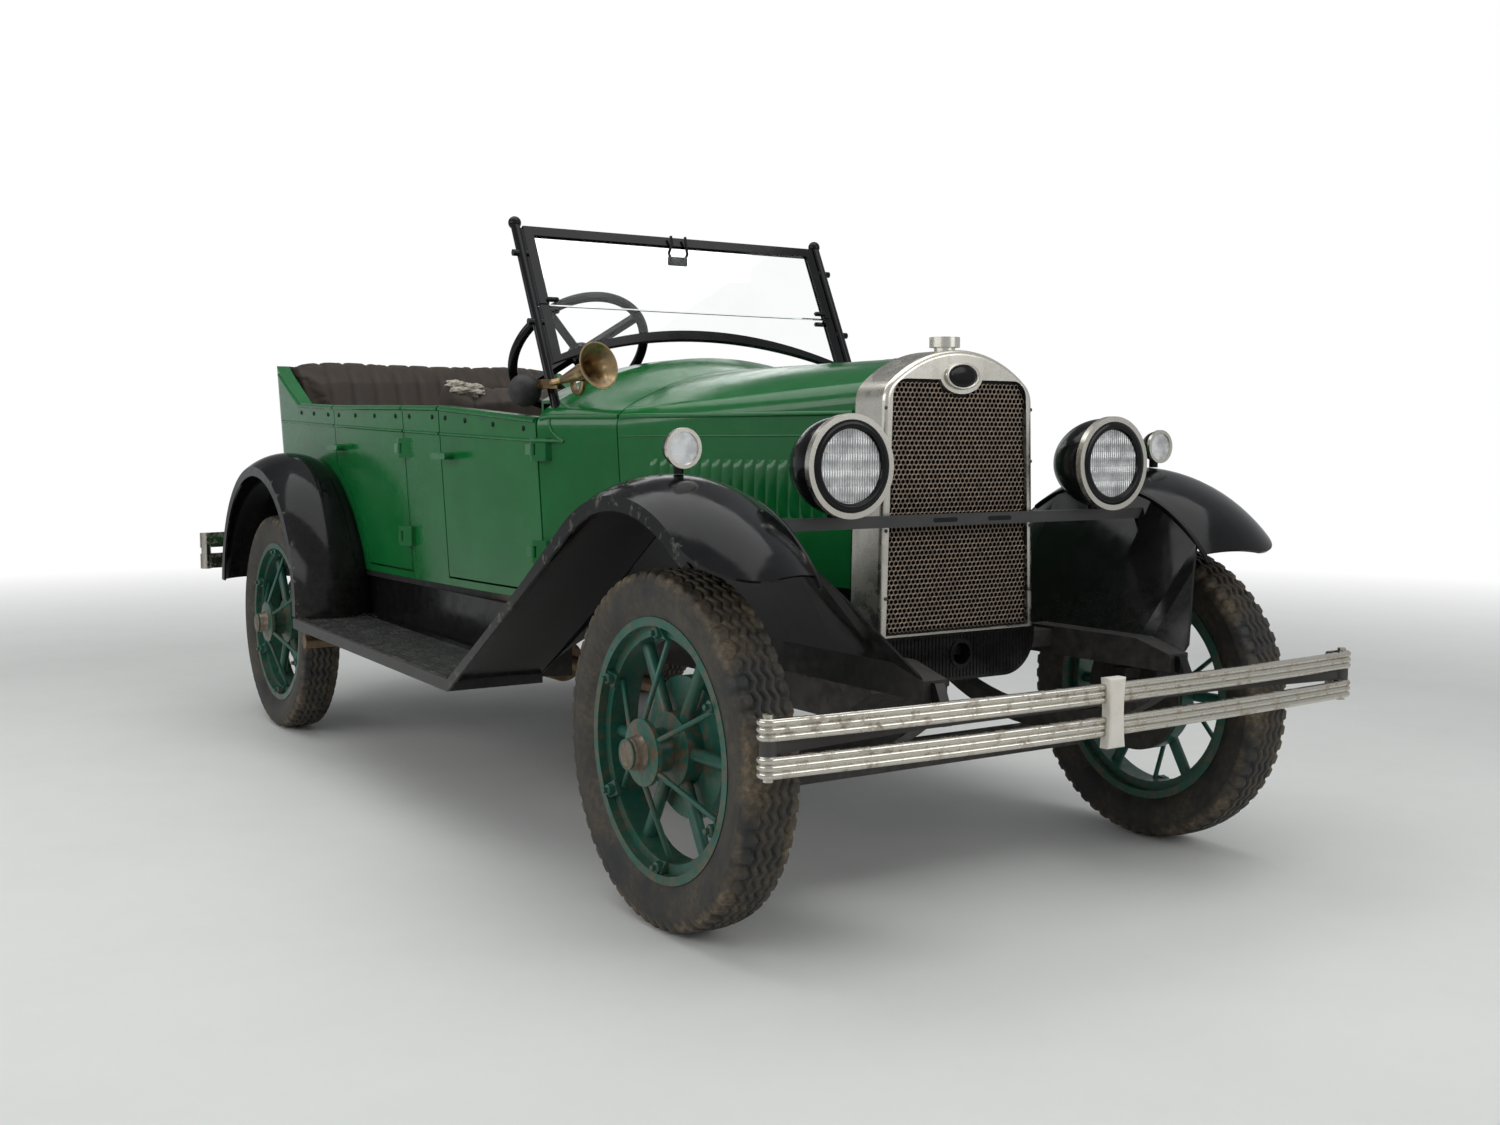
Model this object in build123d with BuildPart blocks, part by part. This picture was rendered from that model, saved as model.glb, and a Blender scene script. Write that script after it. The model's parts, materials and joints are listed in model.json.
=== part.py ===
"""A 1920s open touring car with right-hand steering and its folding top taken off.

The car faces +X, its left side is +Y and the ground is Z = 0. The origin lies on the ground,
halfway along the car. Stations are measured forward from the front axle.
"""
import os
from math import cos, radians, sin, sqrt, tan

from build123d import *

os.makedirs("parts", exist_ok=True)

# Overall layout
wheelbase = 2718
track = 1422
front_overhang = 553
rear_overhang = 812
front_axle_x = (wheelbase + rear_overhang - front_overhang) / 2
rear_axle = -wheelbase
half_track = track / 2
fit = 0.3
joint_gap = 6

# Wheels and tyres
tyre_radius = 376
tyre_half_width = 65
bead_radius = 264
bead_half_width = 44
flange_radius = 277
rim_half_width = 50
felloe_radius = 236
felloe_half_width = 30
rim_depth = 6
tread_round = 12
wall_bulge = 8
hub_radius = 46
hub_face = 84
boss_radius = 78
boss_face = 18
boss_taper = 12
nut_plate_radius = 70
nut_plate_thick = 10
nut_plate_taper = 4
cap_rise = 6
cap_radius = 32
cap_face = 119
spoke_count = 6
spoke_radius = 14
spoke_sink = 6
rod_radius = 6
rod_circle = 60
rod_sink = 4
rod_inset = 5
rod_end = 13
drum_radius = 150
drum_open_face = -61
drum_wall = 9
drum_back = -30
spindle_radius = 20
running_fit = 0.06

# Chassis frame
rail_inner = 320
rail_outer = 380
rail_top = 567
rail_low = 470
rail_horn_low = 500
horn_tip = 400
rail_end = -3250
last_member = -3200
cross_width = 90
spring_y = (rail_inner + rail_outer) / 2
spring_width = 46
kingpin_y = 606
kingpin_radius = 16
steer_arm = 150
tie_rod_z = 288

# Body outline
cowl_front = -786
cowl_rear = -990
body_rear = -3345
rear_bulge = 15
half_front = 557
half_middle = 612
half_rear = 578
corner_radius = 190
belt_z = 1050
flare = 0.055
sill_z = rail_top + 18
body_top = 1330
wall = 45

# Door openings
front_door_rear = -1571
centre_post = 275
rear_door_front = front_door_rear - centre_post
rear_door_rear = -2481
door_low = 612
edge_front_z = 1075
edge_middle_z = 1116
edge_rear_z = 1134
hinge_half = 30
hinge_heights = [720, 990]
barrel_radius = 8
pin_radius = 5
leaf_length = 38

# Radiator, bonnet and cowl
shell_front = 63
shell_rear = -45
shell_low = 560
shell_top = 1217
shell_half = 213
shell_half_low = 230
bonnet_low = 680
crease_z = 1080
shoulder_z = 1125
bonnet_top = 1206
bonnet_half_rear = 430
bonnet_half_rear_low = 408
bonnet_skin = 5
cowl_top = 1245
crown_fillet = 60

# Fenders and running boards
fender_out = 830
fender_skin = 7
front_arch = (-50, 470)
front_lip_radius = 400
front_nose_angle = 36
nose_round = 130
nose_inner_cut = 28
front_tail_angle = 122
rear_arch_z = 462
rear_lip_radius = 428
rear_ridge = 80
door_cut_radius = rear_lip_radius + rear_ridge + 12
board_inner = 575
board_thick = 32
board_front = -960
board_rear = -2285
board_front_z = 405
board_rear_z = 432

# Lamps and screen
lamp_front = 165
lamp_y = 383
lamp_z = 960
lamp_radius = 110
lens_radius = 86
lamp_length = 175
bar_z = 838
bar_station = 100
side_lamp = (19, fender_out - 129, 998)
post_base = (-975, 1095)
post_rake = 26
post_length = 562
post_radius = 13
screen_half = 487
post_y = screen_half + 18
frame_bar = 28

# Steering
column_angle = 41
wheel_centre = (-1312, -268, 1265)
steering_radius = 201


forward = (1, 0, 0)
backward = (-1, 0, 0)
upward = (0, 0, 1)


def side(y=0):
    """Side view: local x is the station, local y the height, and the normal points right."""
    return Plane(origin=(front_axle_x, y, 0), x_dir=(1, 0, 0), z_dir=(0, -1, 0))


def across(station):
    """Front view: local x runs to the car's left, local y is the height, the normal forward."""
    return Plane(origin=(front_axle_x + station, 0, 0), x_dir=(0, 1, 0), z_dir=(1, 0, 0))


def plan(z):
    """Plan view at height z: local x is the station and local y runs to the car's left."""
    return Plane(origin=(front_axle_x, 0, z))


def at(station, y, z):
    """A point in the part's frame from a station, a side distance and a height."""
    return (front_axle_x + station, y, z)


def board_top(station):
    """Height of the running board's tread, which rises towards the rear."""
    share = (board_front - station) / (board_front - board_rear)
    return board_front_z + share * (board_rear_z - board_front_z)


def body_outline(z, inset):
    """Plan outline of the body at a height, moved inwards by inset."""
    lean = flare * (z - belt_z) - inset
    front = half_front + lean
    middle = half_middle + lean
    rear = half_rear + lean
    end = body_rear + inset
    with BuildSketch(plan(z)) as outline:
        with BuildLine():
            ThreePointArc((cowl_rear, -front), ((cowl_rear + end) / 2, -middle), (end, -rear))
            ThreePointArc((end, -rear), (end - rear_bulge, 0), (end, rear))
            ThreePointArc((end, rear), ((cowl_rear + end) / 2, middle), (cowl_rear, front))
            Line((cowl_rear, front), (cowl_rear, -front))
        make_face()
        fillet(outline.vertices().group_by(Axis.X)[0], corner_radius - inset)
    return outline.sketch


def bonnet_section(station, half_low, half_high, low, top, shoulder, inset):
    """Cross-section of bonnet or cowl: upright sides under a crowned top."""
    with BuildSketch(across(station)) as section:
        with BuildLine():
            Polyline(
                (-half_high + inset, shoulder),
                (-half_low + inset, low),
                (half_low - inset, low),
                (half_high - inset, shoulder),
            )
            ThreePointArc(
                (half_high - inset, shoulder), (0, top - inset), (-half_high + inset, shoulder)
            )
        make_face()
        fillet(section.vertices().group_by(Axis.Y)[-1], crown_fillet - inset)
    return section.sketch


def fender_profile(plane, outer, inner, flange, crown, inner_rise):
    """Section of a fender: a lip at the outer edge, a crowned top and a free inner edge."""
    middle = (outer + inner) / 2
    with BuildSketch(plane) as profile:
        with BuildLine():
            Polyline((-outer + fender_skin, 0), (-outer, 0), (-outer, flange))
            ThreePointArc((-outer, flange), (-middle, crown), (-inner, inner_rise))
            Line((-inner, inner_rise), (-inner, inner_rise - fender_skin))
            ThreePointArc(
                (-inner, inner_rise - fender_skin),
                (-middle, crown - fender_skin),
                (-outer + fender_skin, flange - fender_skin),
            )
            Line((-outer + fender_skin, flange - fender_skin), (-outer + fender_skin, 0))
        make_face()
    return profile.sketch


def arch_plane(centre, radius, angle):
    """Plane square to an arch at an angle: local x to the left, local y away from the centre."""
    a = radians(angle)
    return Plane(
        origin=at(centre[0] + radius * cos(a), 0, centre[1] + radius * sin(a)),
        x_dir=(0, 1, 0),
        z_dir=(sin(a), 0, -cos(a)),
    )


# Tyre and wheel, lying flat with their outer side up
with BuildPart() as tyre:
    with BuildSketch(Plane.XZ):
        with BuildLine():
            Polyline(
                (flange_radius, -bead_half_width),
                (bead_radius, -bead_half_width),
                (bead_radius, bead_half_width),
                (flange_radius, bead_half_width),
            )
            shoulder = (tyre_radius - tread_round, tyre_half_width - tread_round)
            middle = ((flange_radius + tyre_radius) / 2 - wall_bulge, tyre_half_width)
            ThreePointArc((flange_radius, bead_half_width), middle, shoulder)
            ThreePointArc(shoulder, (tyre_radius, 0), (shoulder[0], -shoulder[1]))
            ThreePointArc(
                (shoulder[0], -shoulder[1]), (middle[0], -middle[1]), (flange_radius, -bead_half_width)
            )
        make_face()
    revolve(axis=Axis.Z)

with BuildPart() as rim:
    with BuildSketch(Plane.XZ):
        with BuildLine():
            Polyline(
                (felloe_radius, -felloe_half_width),
                (felloe_radius, felloe_half_width),
                (bead_radius - rim_depth, felloe_half_width),
                (bead_radius - rim_depth, rim_half_width),
                (flange_radius, rim_half_width),
                (flange_radius, bead_half_width),
                (bead_radius, bead_half_width),
                (bead_radius, -bead_half_width),
                (flange_radius, -bead_half_width),
                (flange_radius, -rim_half_width),
                (bead_radius - rim_depth, -rim_half_width),
                (bead_radius - rim_depth, -felloe_half_width),
                close=True,
            )
        make_face()
    revolve(axis=Axis.Z)

with BuildPart() as wheel:
    add(rim.part)
    with BuildSketch(Plane.XZ):
        with BuildLine():
            Polyline(
                (0, drum_open_face),
                (hub_radius, drum_open_face),
                (hub_radius, drum_back),
                (drum_radius - drum_wall, drum_back),
                (drum_radius - drum_wall, drum_open_face),
                (drum_radius, drum_open_face),
                (drum_radius, drum_back + drum_wall),
                (boss_radius, drum_back + drum_wall),
                (boss_radius, boss_face),
                (hub_radius, boss_face + boss_taper),
                (hub_radius, hub_face - nut_plate_thick - nut_plate_taper),
                (nut_plate_radius, hub_face - nut_plate_thick),
                (nut_plate_radius, hub_face),
                (cap_radius, hub_face + cap_rise),
                (cap_radius, cap_face),
                (0, cap_face),
                close=True,
            )
        make_face()
    revolve(axis=Axis.Z)
    with PolarLocations(hub_radius, spoke_count):
        Cylinder(
            spoke_radius,
            felloe_radius - hub_radius + spoke_sink,
            rotation=(0, 90, 0),
            align=(Align.CENTER, Align.CENTER, Align.MIN),
        )
    rod_run = felloe_radius + rod_sink - rod_circle
    rod_drop = hub_face - rod_inset - rod_end
    rod_tilt = 90 + Vector(rod_run, 0, -rod_drop).get_angle(Vector(1, 0, 0))
    with PolarLocations(rod_circle, spoke_count, start_angle=180 / spoke_count):
        with Locations((0, 0, hub_face - rod_inset)):
            Cylinder(
                rod_radius,
                sqrt(rod_run**2 + rod_drop**2),
                rotation=(0, rod_tilt, 0),
                align=(Align.CENTER, Align.CENTER, Align.MIN),
            )
    with Locations((0, 0, drum_open_face)):
        Cylinder(
            spindle_radius + running_fit,
            hub_face - drum_open_face,
            align=(Align.CENTER, Align.CENTER, Align.MIN),
            mode=Mode.SUBTRACT,
        )

wheel_places = {
    "front_right": (0, -half_track, 90),
    "front_left": (0, half_track, -90),
    "rear_right": (rear_axle, -half_track, 90),
    "rear_left": (rear_axle, half_track, -90),
}
pieces = {}
for place, (station, y, turn) in wheel_places.items():
    spot = Location(at(station, y, tyre_radius), (turn, 0, 0))
    with BuildPart() as placed_tyre:
        add(tyre.part.moved(spot))
    with BuildPart() as placed_wheel:
        add(wheel.part.moved(spot))
    pieces["tyre_" + place] = placed_tyre
    pieces["wheel_" + place] = placed_wheel

# Spare rim and tyre behind the body, on a post from the frame
spare_gap = 30
spare_station = body_rear - rear_bulge - spare_gap - tyre_half_width
spare_z = 700
spider_thick = 24
spider_hub = 60
spider_arm = 40
spider_sink = 8
stay_half = 25
stay_half_height = 40
stay_reach = 90
stay_low_reach = 50
stay_top_drop = 12
stay_foot_rise = 20
with BuildPart() as spare_tyre:
    add(tyre.part.moved(Location(at(spare_station, 0, spare_z), (0, -90, 0))))
with BuildPart() as spare_carrier:
    add(rim.part.moved(Location(at(spare_station, 0, spare_z), (0, -90, 0))))
    with BuildSketch(across(spare_station - spider_thick / 2)):
        with Locations((0, spare_z)):
            Circle(spider_hub)
            with PolarLocations(0, 3, start_angle=90):
                with Locations((felloe_radius / 2, 0)):
                    Rectangle(felloe_radius + spider_sink, spider_arm)
    extrude(amount=spider_thick)
    with BuildSketch(side()):
        with BuildLine():
            Polyline(
                (spare_station, spare_z + stay_half_height),
                (spare_station + stay_reach, spare_z + stay_half_height),
                (spare_station + stay_reach, rail_top - stay_top_drop),
                (last_member - cross_width / 2, rail_top - stay_top_drop),
                (last_member - cross_width / 2, rail_low + stay_foot_rise),
                (spare_station + stay_low_reach, rail_low + stay_foot_rise),
                (spare_station + stay_low_reach, spare_z - stay_half_height),
                (spare_station, spare_z - stay_half_height),
                close=True,
            )
        make_face()
    extrude(amount=stay_half, both=True)
pieces["spare_tyre"] = spare_tyre
pieces["spare_carrier"] = spare_carrier

# Running boards, rising slightly to the rear
with BuildPart() as running_boards:
    with BuildSketch(side(-board_inner)):
        with BuildLine():
            Polyline(
                (board_front, board_front_z),
                (board_rear, board_rear_z),
                (board_rear, board_rear_z - board_thick),
                (board_front, board_front_z - board_thick),
                close=True,
            )
        make_face()
    extrude(amount=fender_out - board_inner)
    mirror(about=Plane.XZ)
pieces["running_boards"] = running_boards

# Chassis frame: two rails, cross-members and the brackets under the running boards
cross_members = [(-10, 520), (-1130, rail_low), (-2160, rail_low), (last_member, rail_low)]
bracket_stations = [-1250, -2140]
horn_depth = 40
horn_rise = 300
rail_taper_front = -520
rail_taper_rear = -760
bracket_drop = 40
bracket_root = 20
bracket_lap = 5
bracket_height = 60
bracket_tip = 60
bracket_tip_rise = 20
bracket_half = 20
weld_lap = 1
with BuildPart() as chassis_frame:
    with BuildSketch(side(-rail_inner)):
        with BuildLine():
            Polyline(
                (horn_tip, rail_horn_low),
                (horn_tip, rail_horn_low + horn_depth),
                (horn_rise, rail_top),
                (rail_end, rail_top),
                (rail_end, rail_low),
                (rail_taper_rear, rail_low),
                (rail_taper_front, rail_horn_low),
                close=True,
            )
        make_face()
    extrude(amount=rail_outer - rail_inner)
    for bracket in bracket_stations:
        low = board_top(bracket) - board_thick - bracket_drop
        with BuildSketch(across(bracket)):
            with BuildLine():
                Polyline(
                    (-rail_inner - bracket_root, rail_low + bracket_lap),
                    (-rail_outer, rail_low + bracket_lap),
                    (-rail_outer, low + bracket_height),
                    (-fender_out + bracket_tip, low + bracket_height),
                    (-fender_out + bracket_tip, low + bracket_tip_rise),
                    (-rail_inner - bracket_root, low),
                    close=True,
                )
            make_face()
        extrude(amount=bracket_half, both=True)
    mirror(about=Plane.XZ)
    for station, low in cross_members:
        with BuildSketch(across(station)):
            with Locations((0, low)):
                Rectangle(2 * (rail_inner + weld_lap), shell_low - low, align=(Align.CENTER, Align.MIN))
        extrude(amount=cross_width / 2, both=True)
    add(running_boards.part, mode=Mode.SUBTRACT)
pieces["chassis_frame"] = chassis_frame

# Leaf springs under the rails, each with an eye block at both ends
spring_rows = [
    ("front", 390, -485, -45, rail_horn_low, 312, 44),
    ("rear", rear_axle + 480, rear_axle - 480, rear_axle, rail_low, 416, 38),
]
leaf_end_low = 36
leaf_end_high = 18
eye_length = 30
eye_depth = 40
with BuildPart() as leaf_springs:
    for name, front, rear, middle, hanger, low, pack in spring_rows:
        with BuildSketch(side(-spring_y + spring_width / 2)):
            with BuildLine():
                ThreePointArc((front, hanger - leaf_end_low), (middle, low), (rear, hanger - leaf_end_low))
                Line((rear, hanger - leaf_end_low), (rear, hanger - leaf_end_high))
                ThreePointArc(
                    (rear, hanger - leaf_end_high), (middle, low + pack), (front, hanger - leaf_end_high)
                )
                Line((front, hanger - leaf_end_high), (front, hanger - leaf_end_low))
            make_face()
            for end in (front - eye_length / 2, rear + eye_length / 2):
                with Locations((end, hanger - eye_depth)):
                    Rectangle(eye_length, eye_depth, align=(Align.CENTER, Align.MIN))
        extrude(amount=spring_width)
    mirror(about=Plane.XZ)
pieces["leaf_springs"] = leaf_springs

# Front axle: a dropped beam with an upright boss for each kingpin
axle_depth = 44
beam_top = 312
beam_low = 265
beam_half_top = 440
beam_half_low = 430
end_half = 22
shoulder_top_run = 60
shoulder_top = 12
shoulder_low_run = 70
shoulder_low = 30
kingpin_boss_radius = 30
kingpin_boss_height = 72
with BuildPart() as front_axle:
    with BuildSketch(across(0)):
        with BuildLine():
            Polyline(
                (-kingpin_y, tyre_radius + end_half),
                (-kingpin_y + shoulder_top_run, tyre_radius + shoulder_top),
                (-beam_half_top, beam_top),
                (beam_half_top, beam_top),
                (kingpin_y - shoulder_top_run, tyre_radius + shoulder_top),
                (kingpin_y, tyre_radius + end_half),
                (kingpin_y, tyre_radius - end_half),
                (kingpin_y - shoulder_low_run, tyre_radius - shoulder_low),
                (beam_half_low, beam_low),
                (-beam_half_low, beam_low),
                (-kingpin_y + shoulder_low_run, tyre_radius - shoulder_low),
                (-kingpin_y, tyre_radius - end_half),
                close=True,
            )
        make_face()
    extrude(amount=axle_depth / 2, both=True)
    for y in (-kingpin_y, kingpin_y):
        with Locations(at(0, y, tyre_radius)):
            Cylinder(kingpin_boss_radius, kingpin_boss_height)
            Cylinder(kingpin_radius + running_fit, kingpin_boss_height, mode=Mode.SUBTRACT)
    add(leaf_springs.part, mode=Mode.SUBTRACT)
pieces["front_axle"] = front_axle

# Steering knuckles: kingpin, yoke, spindle, brake plate and steering arm
arm_z = tie_rod_z + 24
arm_thick = 16
arm_root = 20
arm_end = 18
arm_tip_half = 16
arm_pin_radius = 8
arm_pin_length = 60
yoke_half = 65
yoke_reach = 24
yoke_throat = 32
yoke_thick = 48
throat_half = 37
throat_radius = 34
brake_plate_thick = 7
spindle_root = 3
spindle_short = 4
plate_y = half_track + drum_open_face - joint_gap
with BuildPart() as knuckle_right:
    with Locations(at(0, -kingpin_y, tyre_radius)):
        Cylinder(kingpin_radius, 2 * yoke_half)
    with BuildSketch(across(0)):
        with BuildLine():
            Polyline(
                (-kingpin_y + yoke_reach, tyre_radius + yoke_half),
                (-plate_y, tyre_radius + yoke_half),
                (-plate_y, tyre_radius - yoke_half),
                (-kingpin_y + yoke_reach, tyre_radius - yoke_half),
                (-kingpin_y + yoke_reach, tyre_radius - throat_half),
                (-kingpin_y - yoke_throat, tyre_radius - throat_half),
                (-kingpin_y - yoke_throat, tyre_radius + throat_half),
                (-kingpin_y + yoke_reach, tyre_radius + throat_half),
                close=True,
            )
        make_face()
    extrude(amount=yoke_thick / 2, both=True)
    with BuildSketch(side(-plate_y + brake_plate_thick)):
        with Locations((0, tyre_radius)):
            Circle(drum_radius)
    extrude(amount=brake_plate_thick)
    with BuildSketch(side(-plate_y + spindle_root)):
        with Locations((0, tyre_radius)):
            Circle(spindle_radius)
    extrude(amount=half_track + hub_face - spindle_short - plate_y)
    with BuildSketch(plan(arm_z - arm_thick / 2)):
        with BuildLine():
            Polyline(
                (-arm_root, -kingpin_y + arm_root),
                (-arm_root, -kingpin_y - arm_root),
                (-steer_arm - arm_end, -kingpin_y - arm_tip_half),
                (-steer_arm - arm_end, -kingpin_y + arm_tip_half),
                close=True,
            )
        make_face()
    extrude(amount=arm_thick)
    with Locations(at(-steer_arm, -kingpin_y, arm_z)):
        Cylinder(arm_pin_radius, arm_pin_length, align=(Align.CENTER, Align.CENTER, Align.MAX))
    with Locations(at(0, -kingpin_y, tyre_radius)):
        Cylinder(throat_radius, 2 * throat_half, mode=Mode.SUBTRACT)
        Cylinder(kingpin_radius, 2 * yoke_half)
with BuildPart() as knuckle_left:
    mirror(knuckle_right.part, about=Plane.XZ)
pieces["knuckle_right"] = knuckle_right
pieces["knuckle_left"] = knuckle_left

# Track rod between the two steering arms
track_rod_z = tie_rod_z - 8
track_rod_height = 24
track_rod_depth = 24
track_rod_short = 40
track_eye_radius = 24
track_eye_height = 34
with BuildPart() as tie_rod:
    with BuildSketch(across(-steer_arm)):
        with Locations((0, track_rod_z)):
            Rectangle(2 * kingpin_y - track_rod_short, track_rod_height)
    extrude(amount=track_rod_depth / 2, both=True)
    for y in (-kingpin_y, kingpin_y):
        with Locations(at(-steer_arm, y, track_rod_z)):
            Cylinder(track_eye_radius, track_eye_height)
            Cylinder(arm_pin_radius + running_fit, track_eye_height, mode=Mode.SUBTRACT)
pieces["tie_rod"] = tie_rod

# Rear axle: tube, final drive housing, brake plates and the tube that encloses the drive shaft
gearbox_rear = -1080
gearbox_z = 450
axle_tube_radius = 38
drive_half = 90
drive_radius = 135
drive_round = 55
spindle_end = half_track + hub_face - spindle_short
shaft_tube_half = 38
shaft_tube_rear = 40
shaft_tube_front = 36
spring_seat_length = 90
spring_seat_height = 60
with BuildPart() as rear_axle_unit:
    with BuildSketch(side(plate_y)):
        with Locations((rear_axle, tyre_radius)):
            Circle(axle_tube_radius)
    extrude(amount=2 * plate_y)
    with BuildSketch(side(drive_half)):
        with Locations((rear_axle, tyre_radius)):
            Circle(drive_radius)
    extrude(amount=2 * drive_half)
    fillet(rear_axle_unit.edges().filter_by(GeomType.CIRCLE).group_by(SortBy.RADIUS)[-1], drive_round)
    with BuildSketch(side(spindle_end)):
        with Locations((rear_axle, tyre_radius)):
            Circle(spindle_radius)
    extrude(amount=2 * spindle_end)
    for face in (plate_y, -plate_y + brake_plate_thick):
        with BuildSketch(side(face)):
            with Locations((rear_axle, tyre_radius)):
                Circle(drum_radius)
        extrude(amount=brake_plate_thick)
    with BuildSketch(side(shaft_tube_half)):
        with BuildLine():
            Polyline(
                (rear_axle, tyre_radius + shaft_tube_rear),
                (gearbox_rear, gearbox_z + shaft_tube_front),
                (gearbox_rear, gearbox_z - shaft_tube_front),
                (rear_axle, tyre_radius - shaft_tube_rear),
                close=True,
            )
        make_face()
    extrude(amount=2 * shaft_tube_half)
    for y in (-spring_y, spring_y):
        with Locations(at(rear_axle, y, tyre_radius)):
            Box(spring_seat_length, spring_width, spring_seat_height)
    add(leaf_springs.part, mode=Mode.SUBTRACT)
    add(chassis_frame.part, mode=Mode.SUBTRACT)
pieces["rear_axle"] = rear_axle_unit

# Engine and gearbox as one plain block, with an arm to each rail
with BuildPart() as engine:
    with BuildSketch(side(120)):
        with BuildLine():
            Polyline(
                (-110, 560),
                (-110, 930),
                (-690, 930),
                (-690, 640),
                (-780, 640),
                (-780, 540),
                (gearbox_rear, 520),
                (gearbox_rear, gearbox_z - 70),
                (-700, 380),
                (-600, 340),
                (-250, 340),
                (-110, 420),
                close=True,
            )
        make_face()
    extrude(amount=240)
    for arm in (-150, -650):
        with BuildSketch(across(arm)):
            with Locations((0, 510)):
                Rectangle(2 * rail_inner, 44)
        extrude(amount=25, both=True)
pieces["engine"] = engine

# Exhaust: a pipe from the engine to a silencer under the right rail, leaving at the side
pipe_radius = 22
pipe_z = 350
pipe_y = 262
outlet_gap = 44
outlet_station = rear_axle + tyre_radius + outlet_gap
outlet_y = 790
manifold_station = -640
manifold_y = 120
pipe_bend = 70
silencer_rear = -1960
silencer_length = 520
silencer_radius = 62
hanger_station = -1700
hanger_length = 40
hanger_width = 36
with BuildPart() as exhaust:
    with BuildLine() as pipe_line:
        FilletPolyline(
            at(manifold_station, -manifold_y, pipe_z),
            at(manifold_station, -pipe_y, pipe_z),
            at(outlet_station, -pipe_y, pipe_z),
            at(outlet_station, -outlet_y, pipe_z),
            radius=pipe_bend,
        )
    with BuildSketch(Plane(origin=pipe_line.line @ 0, z_dir=pipe_line.line % 0)):
        Circle(pipe_radius)
    sweep()
    with BuildSketch(across(silencer_rear)):
        with Locations((-pipe_y, pipe_z)):
            Circle(silencer_radius)
    extrude(amount=silencer_length)
    with Locations(at(hanger_station, -rail_inner, rail_low)):
        Box(
            hanger_length,
            hanger_width,
            rail_low - pipe_z,
            align=(Align.CENTER, Align.CENTER, Align.MAX),
        )
pieces["exhaust"] = exhaust

# Fuel tank between the rails behind the rear axle
tank_rear = -3150
tank_length = 200
tank_z = 490
tank_height = 110
tank_round = 40
with BuildPart() as fuel_tank:
    with BuildSketch(across(tank_rear)):
        with Locations((0, tank_z)):
            RectangleRounded(2 * rail_inner, tank_height, tank_round)
    extrude(amount=tank_length)
    add(chassis_frame.part, mode=Mode.SUBTRACT)
pieces["fuel_tank"] = fuel_tank

# Floor boards, shaped to the body and standing on the frame
with BuildPart() as floor:
    extrude(body_outline(rail_top, 0), sill_z - rail_top, dir=upward)
    with BuildSketch(side(300)):
        with BuildLine():
            Polyline(
                (cowl_rear, rail_top),
                (cowl_rear, sill_z),
                (cowl_front - 24, 700),
                (cowl_front - 12, 700),
                (cowl_front - 12, 684),
                (cowl_rear + 30, rail_top),
                close=True,
            )
        make_face()
    extrude(amount=600)
pieces["floor"] = floor

# Body wall, from which every panel of the sides and rear is cut
with BuildPart() as body_solid:
    loft([body_outline(sill_z, 0), body_outline(body_top, 0)])
with BuildPart() as body_inside:
    loft([body_outline(sill_z, wall), body_outline(body_top, wall)])
with BuildPart() as body_wall:
    add(body_solid.part)
    add(body_inside.part, mode=Mode.SUBTRACT)

door_gap = joint_gap
cut_radius = door_cut_radius
tub_cut = cut_radius - door_gap
panel_reach = 700
tub_front = rear_door_rear - door_gap
tub_step_z = rear_arch_z + sqrt(tub_cut**2 - (tub_front - rear_axle) ** 2)
tub_low_x = rear_axle + sqrt(tub_cut**2 - (door_low - door_gap - rear_arch_z) ** 2)
door_step_z = rear_arch_z + sqrt(cut_radius**2 - (rear_door_rear - rear_axle) ** 2)
door_low_x = rear_axle + sqrt(cut_radius**2 - (door_low - rear_arch_z) ** 2)


def arch_point(radius, angle):
    """A point of the rear wheel arch's circle in side view."""
    return (rear_axle + radius * cos(radians(angle)), rear_arch_z + radius * sin(radians(angle)))


# Rear tub: both rear quarters and the back panel in one piece
with BuildPart() as rear_tub:
    add(body_wall.part)
    with BuildSketch(side(panel_reach)):
        with BuildLine():
            Polyline(
                (tub_low_x, door_low - door_gap),
                (tub_low_x, sill_z),
                (body_rear - 100, sill_z),
                (body_rear - 100, 1300),
                (-3210, 1296),
            )
            ThreePointArc((-3210, 1296), (-3040, 1215), (-2900, 1149))
            Polyline((-2900, 1149), (tub_front, edge_rear_z), (tub_front, tub_step_z))
            ThreePointArc(
                (tub_front, tub_step_z), arch_point(tub_cut, 40), (tub_low_x, door_low - door_gap)
            )
        make_face()
    extrude(amount=2 * panel_reach, mode=Mode.INTERSECT)
pieces["rear_tub"] = rear_tub


def hinge_body(station, y, leaf_inner):
    """The pins and fixed leaves of one door's two hinges."""
    with BuildPart() as fixed_hinge:
        for z in hinge_heights:
            with Locations(at(station, -y, z)):
                Cylinder(pin_radius, 2 * hinge_half)
            with BuildSketch(plan(z - hinge_half)):
                with Locations((station, -y)):
                    Circle(barrel_radius)
                with BuildLine():
                    Polyline(
                        (station, -y - barrel_radius),
                        (station + barrel_radius, -y - barrel_radius),
                        (station + leaf_length, -leaf_inner - 20),
                        (station + leaf_length, -leaf_inner),
                        (station + joint_gap, -leaf_inner),
                        (station, -y),
                        close=True,
                    )
                make_face()
            extrude(amount=2 * hinge_half)
            with Locations(at(station, -y, z)):
                Cylinder(2 * barrel_radius, hinge_half, mode=Mode.SUBTRACT)
                Cylinder(pin_radius, hinge_half)
    return fixed_hinge.part


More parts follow.
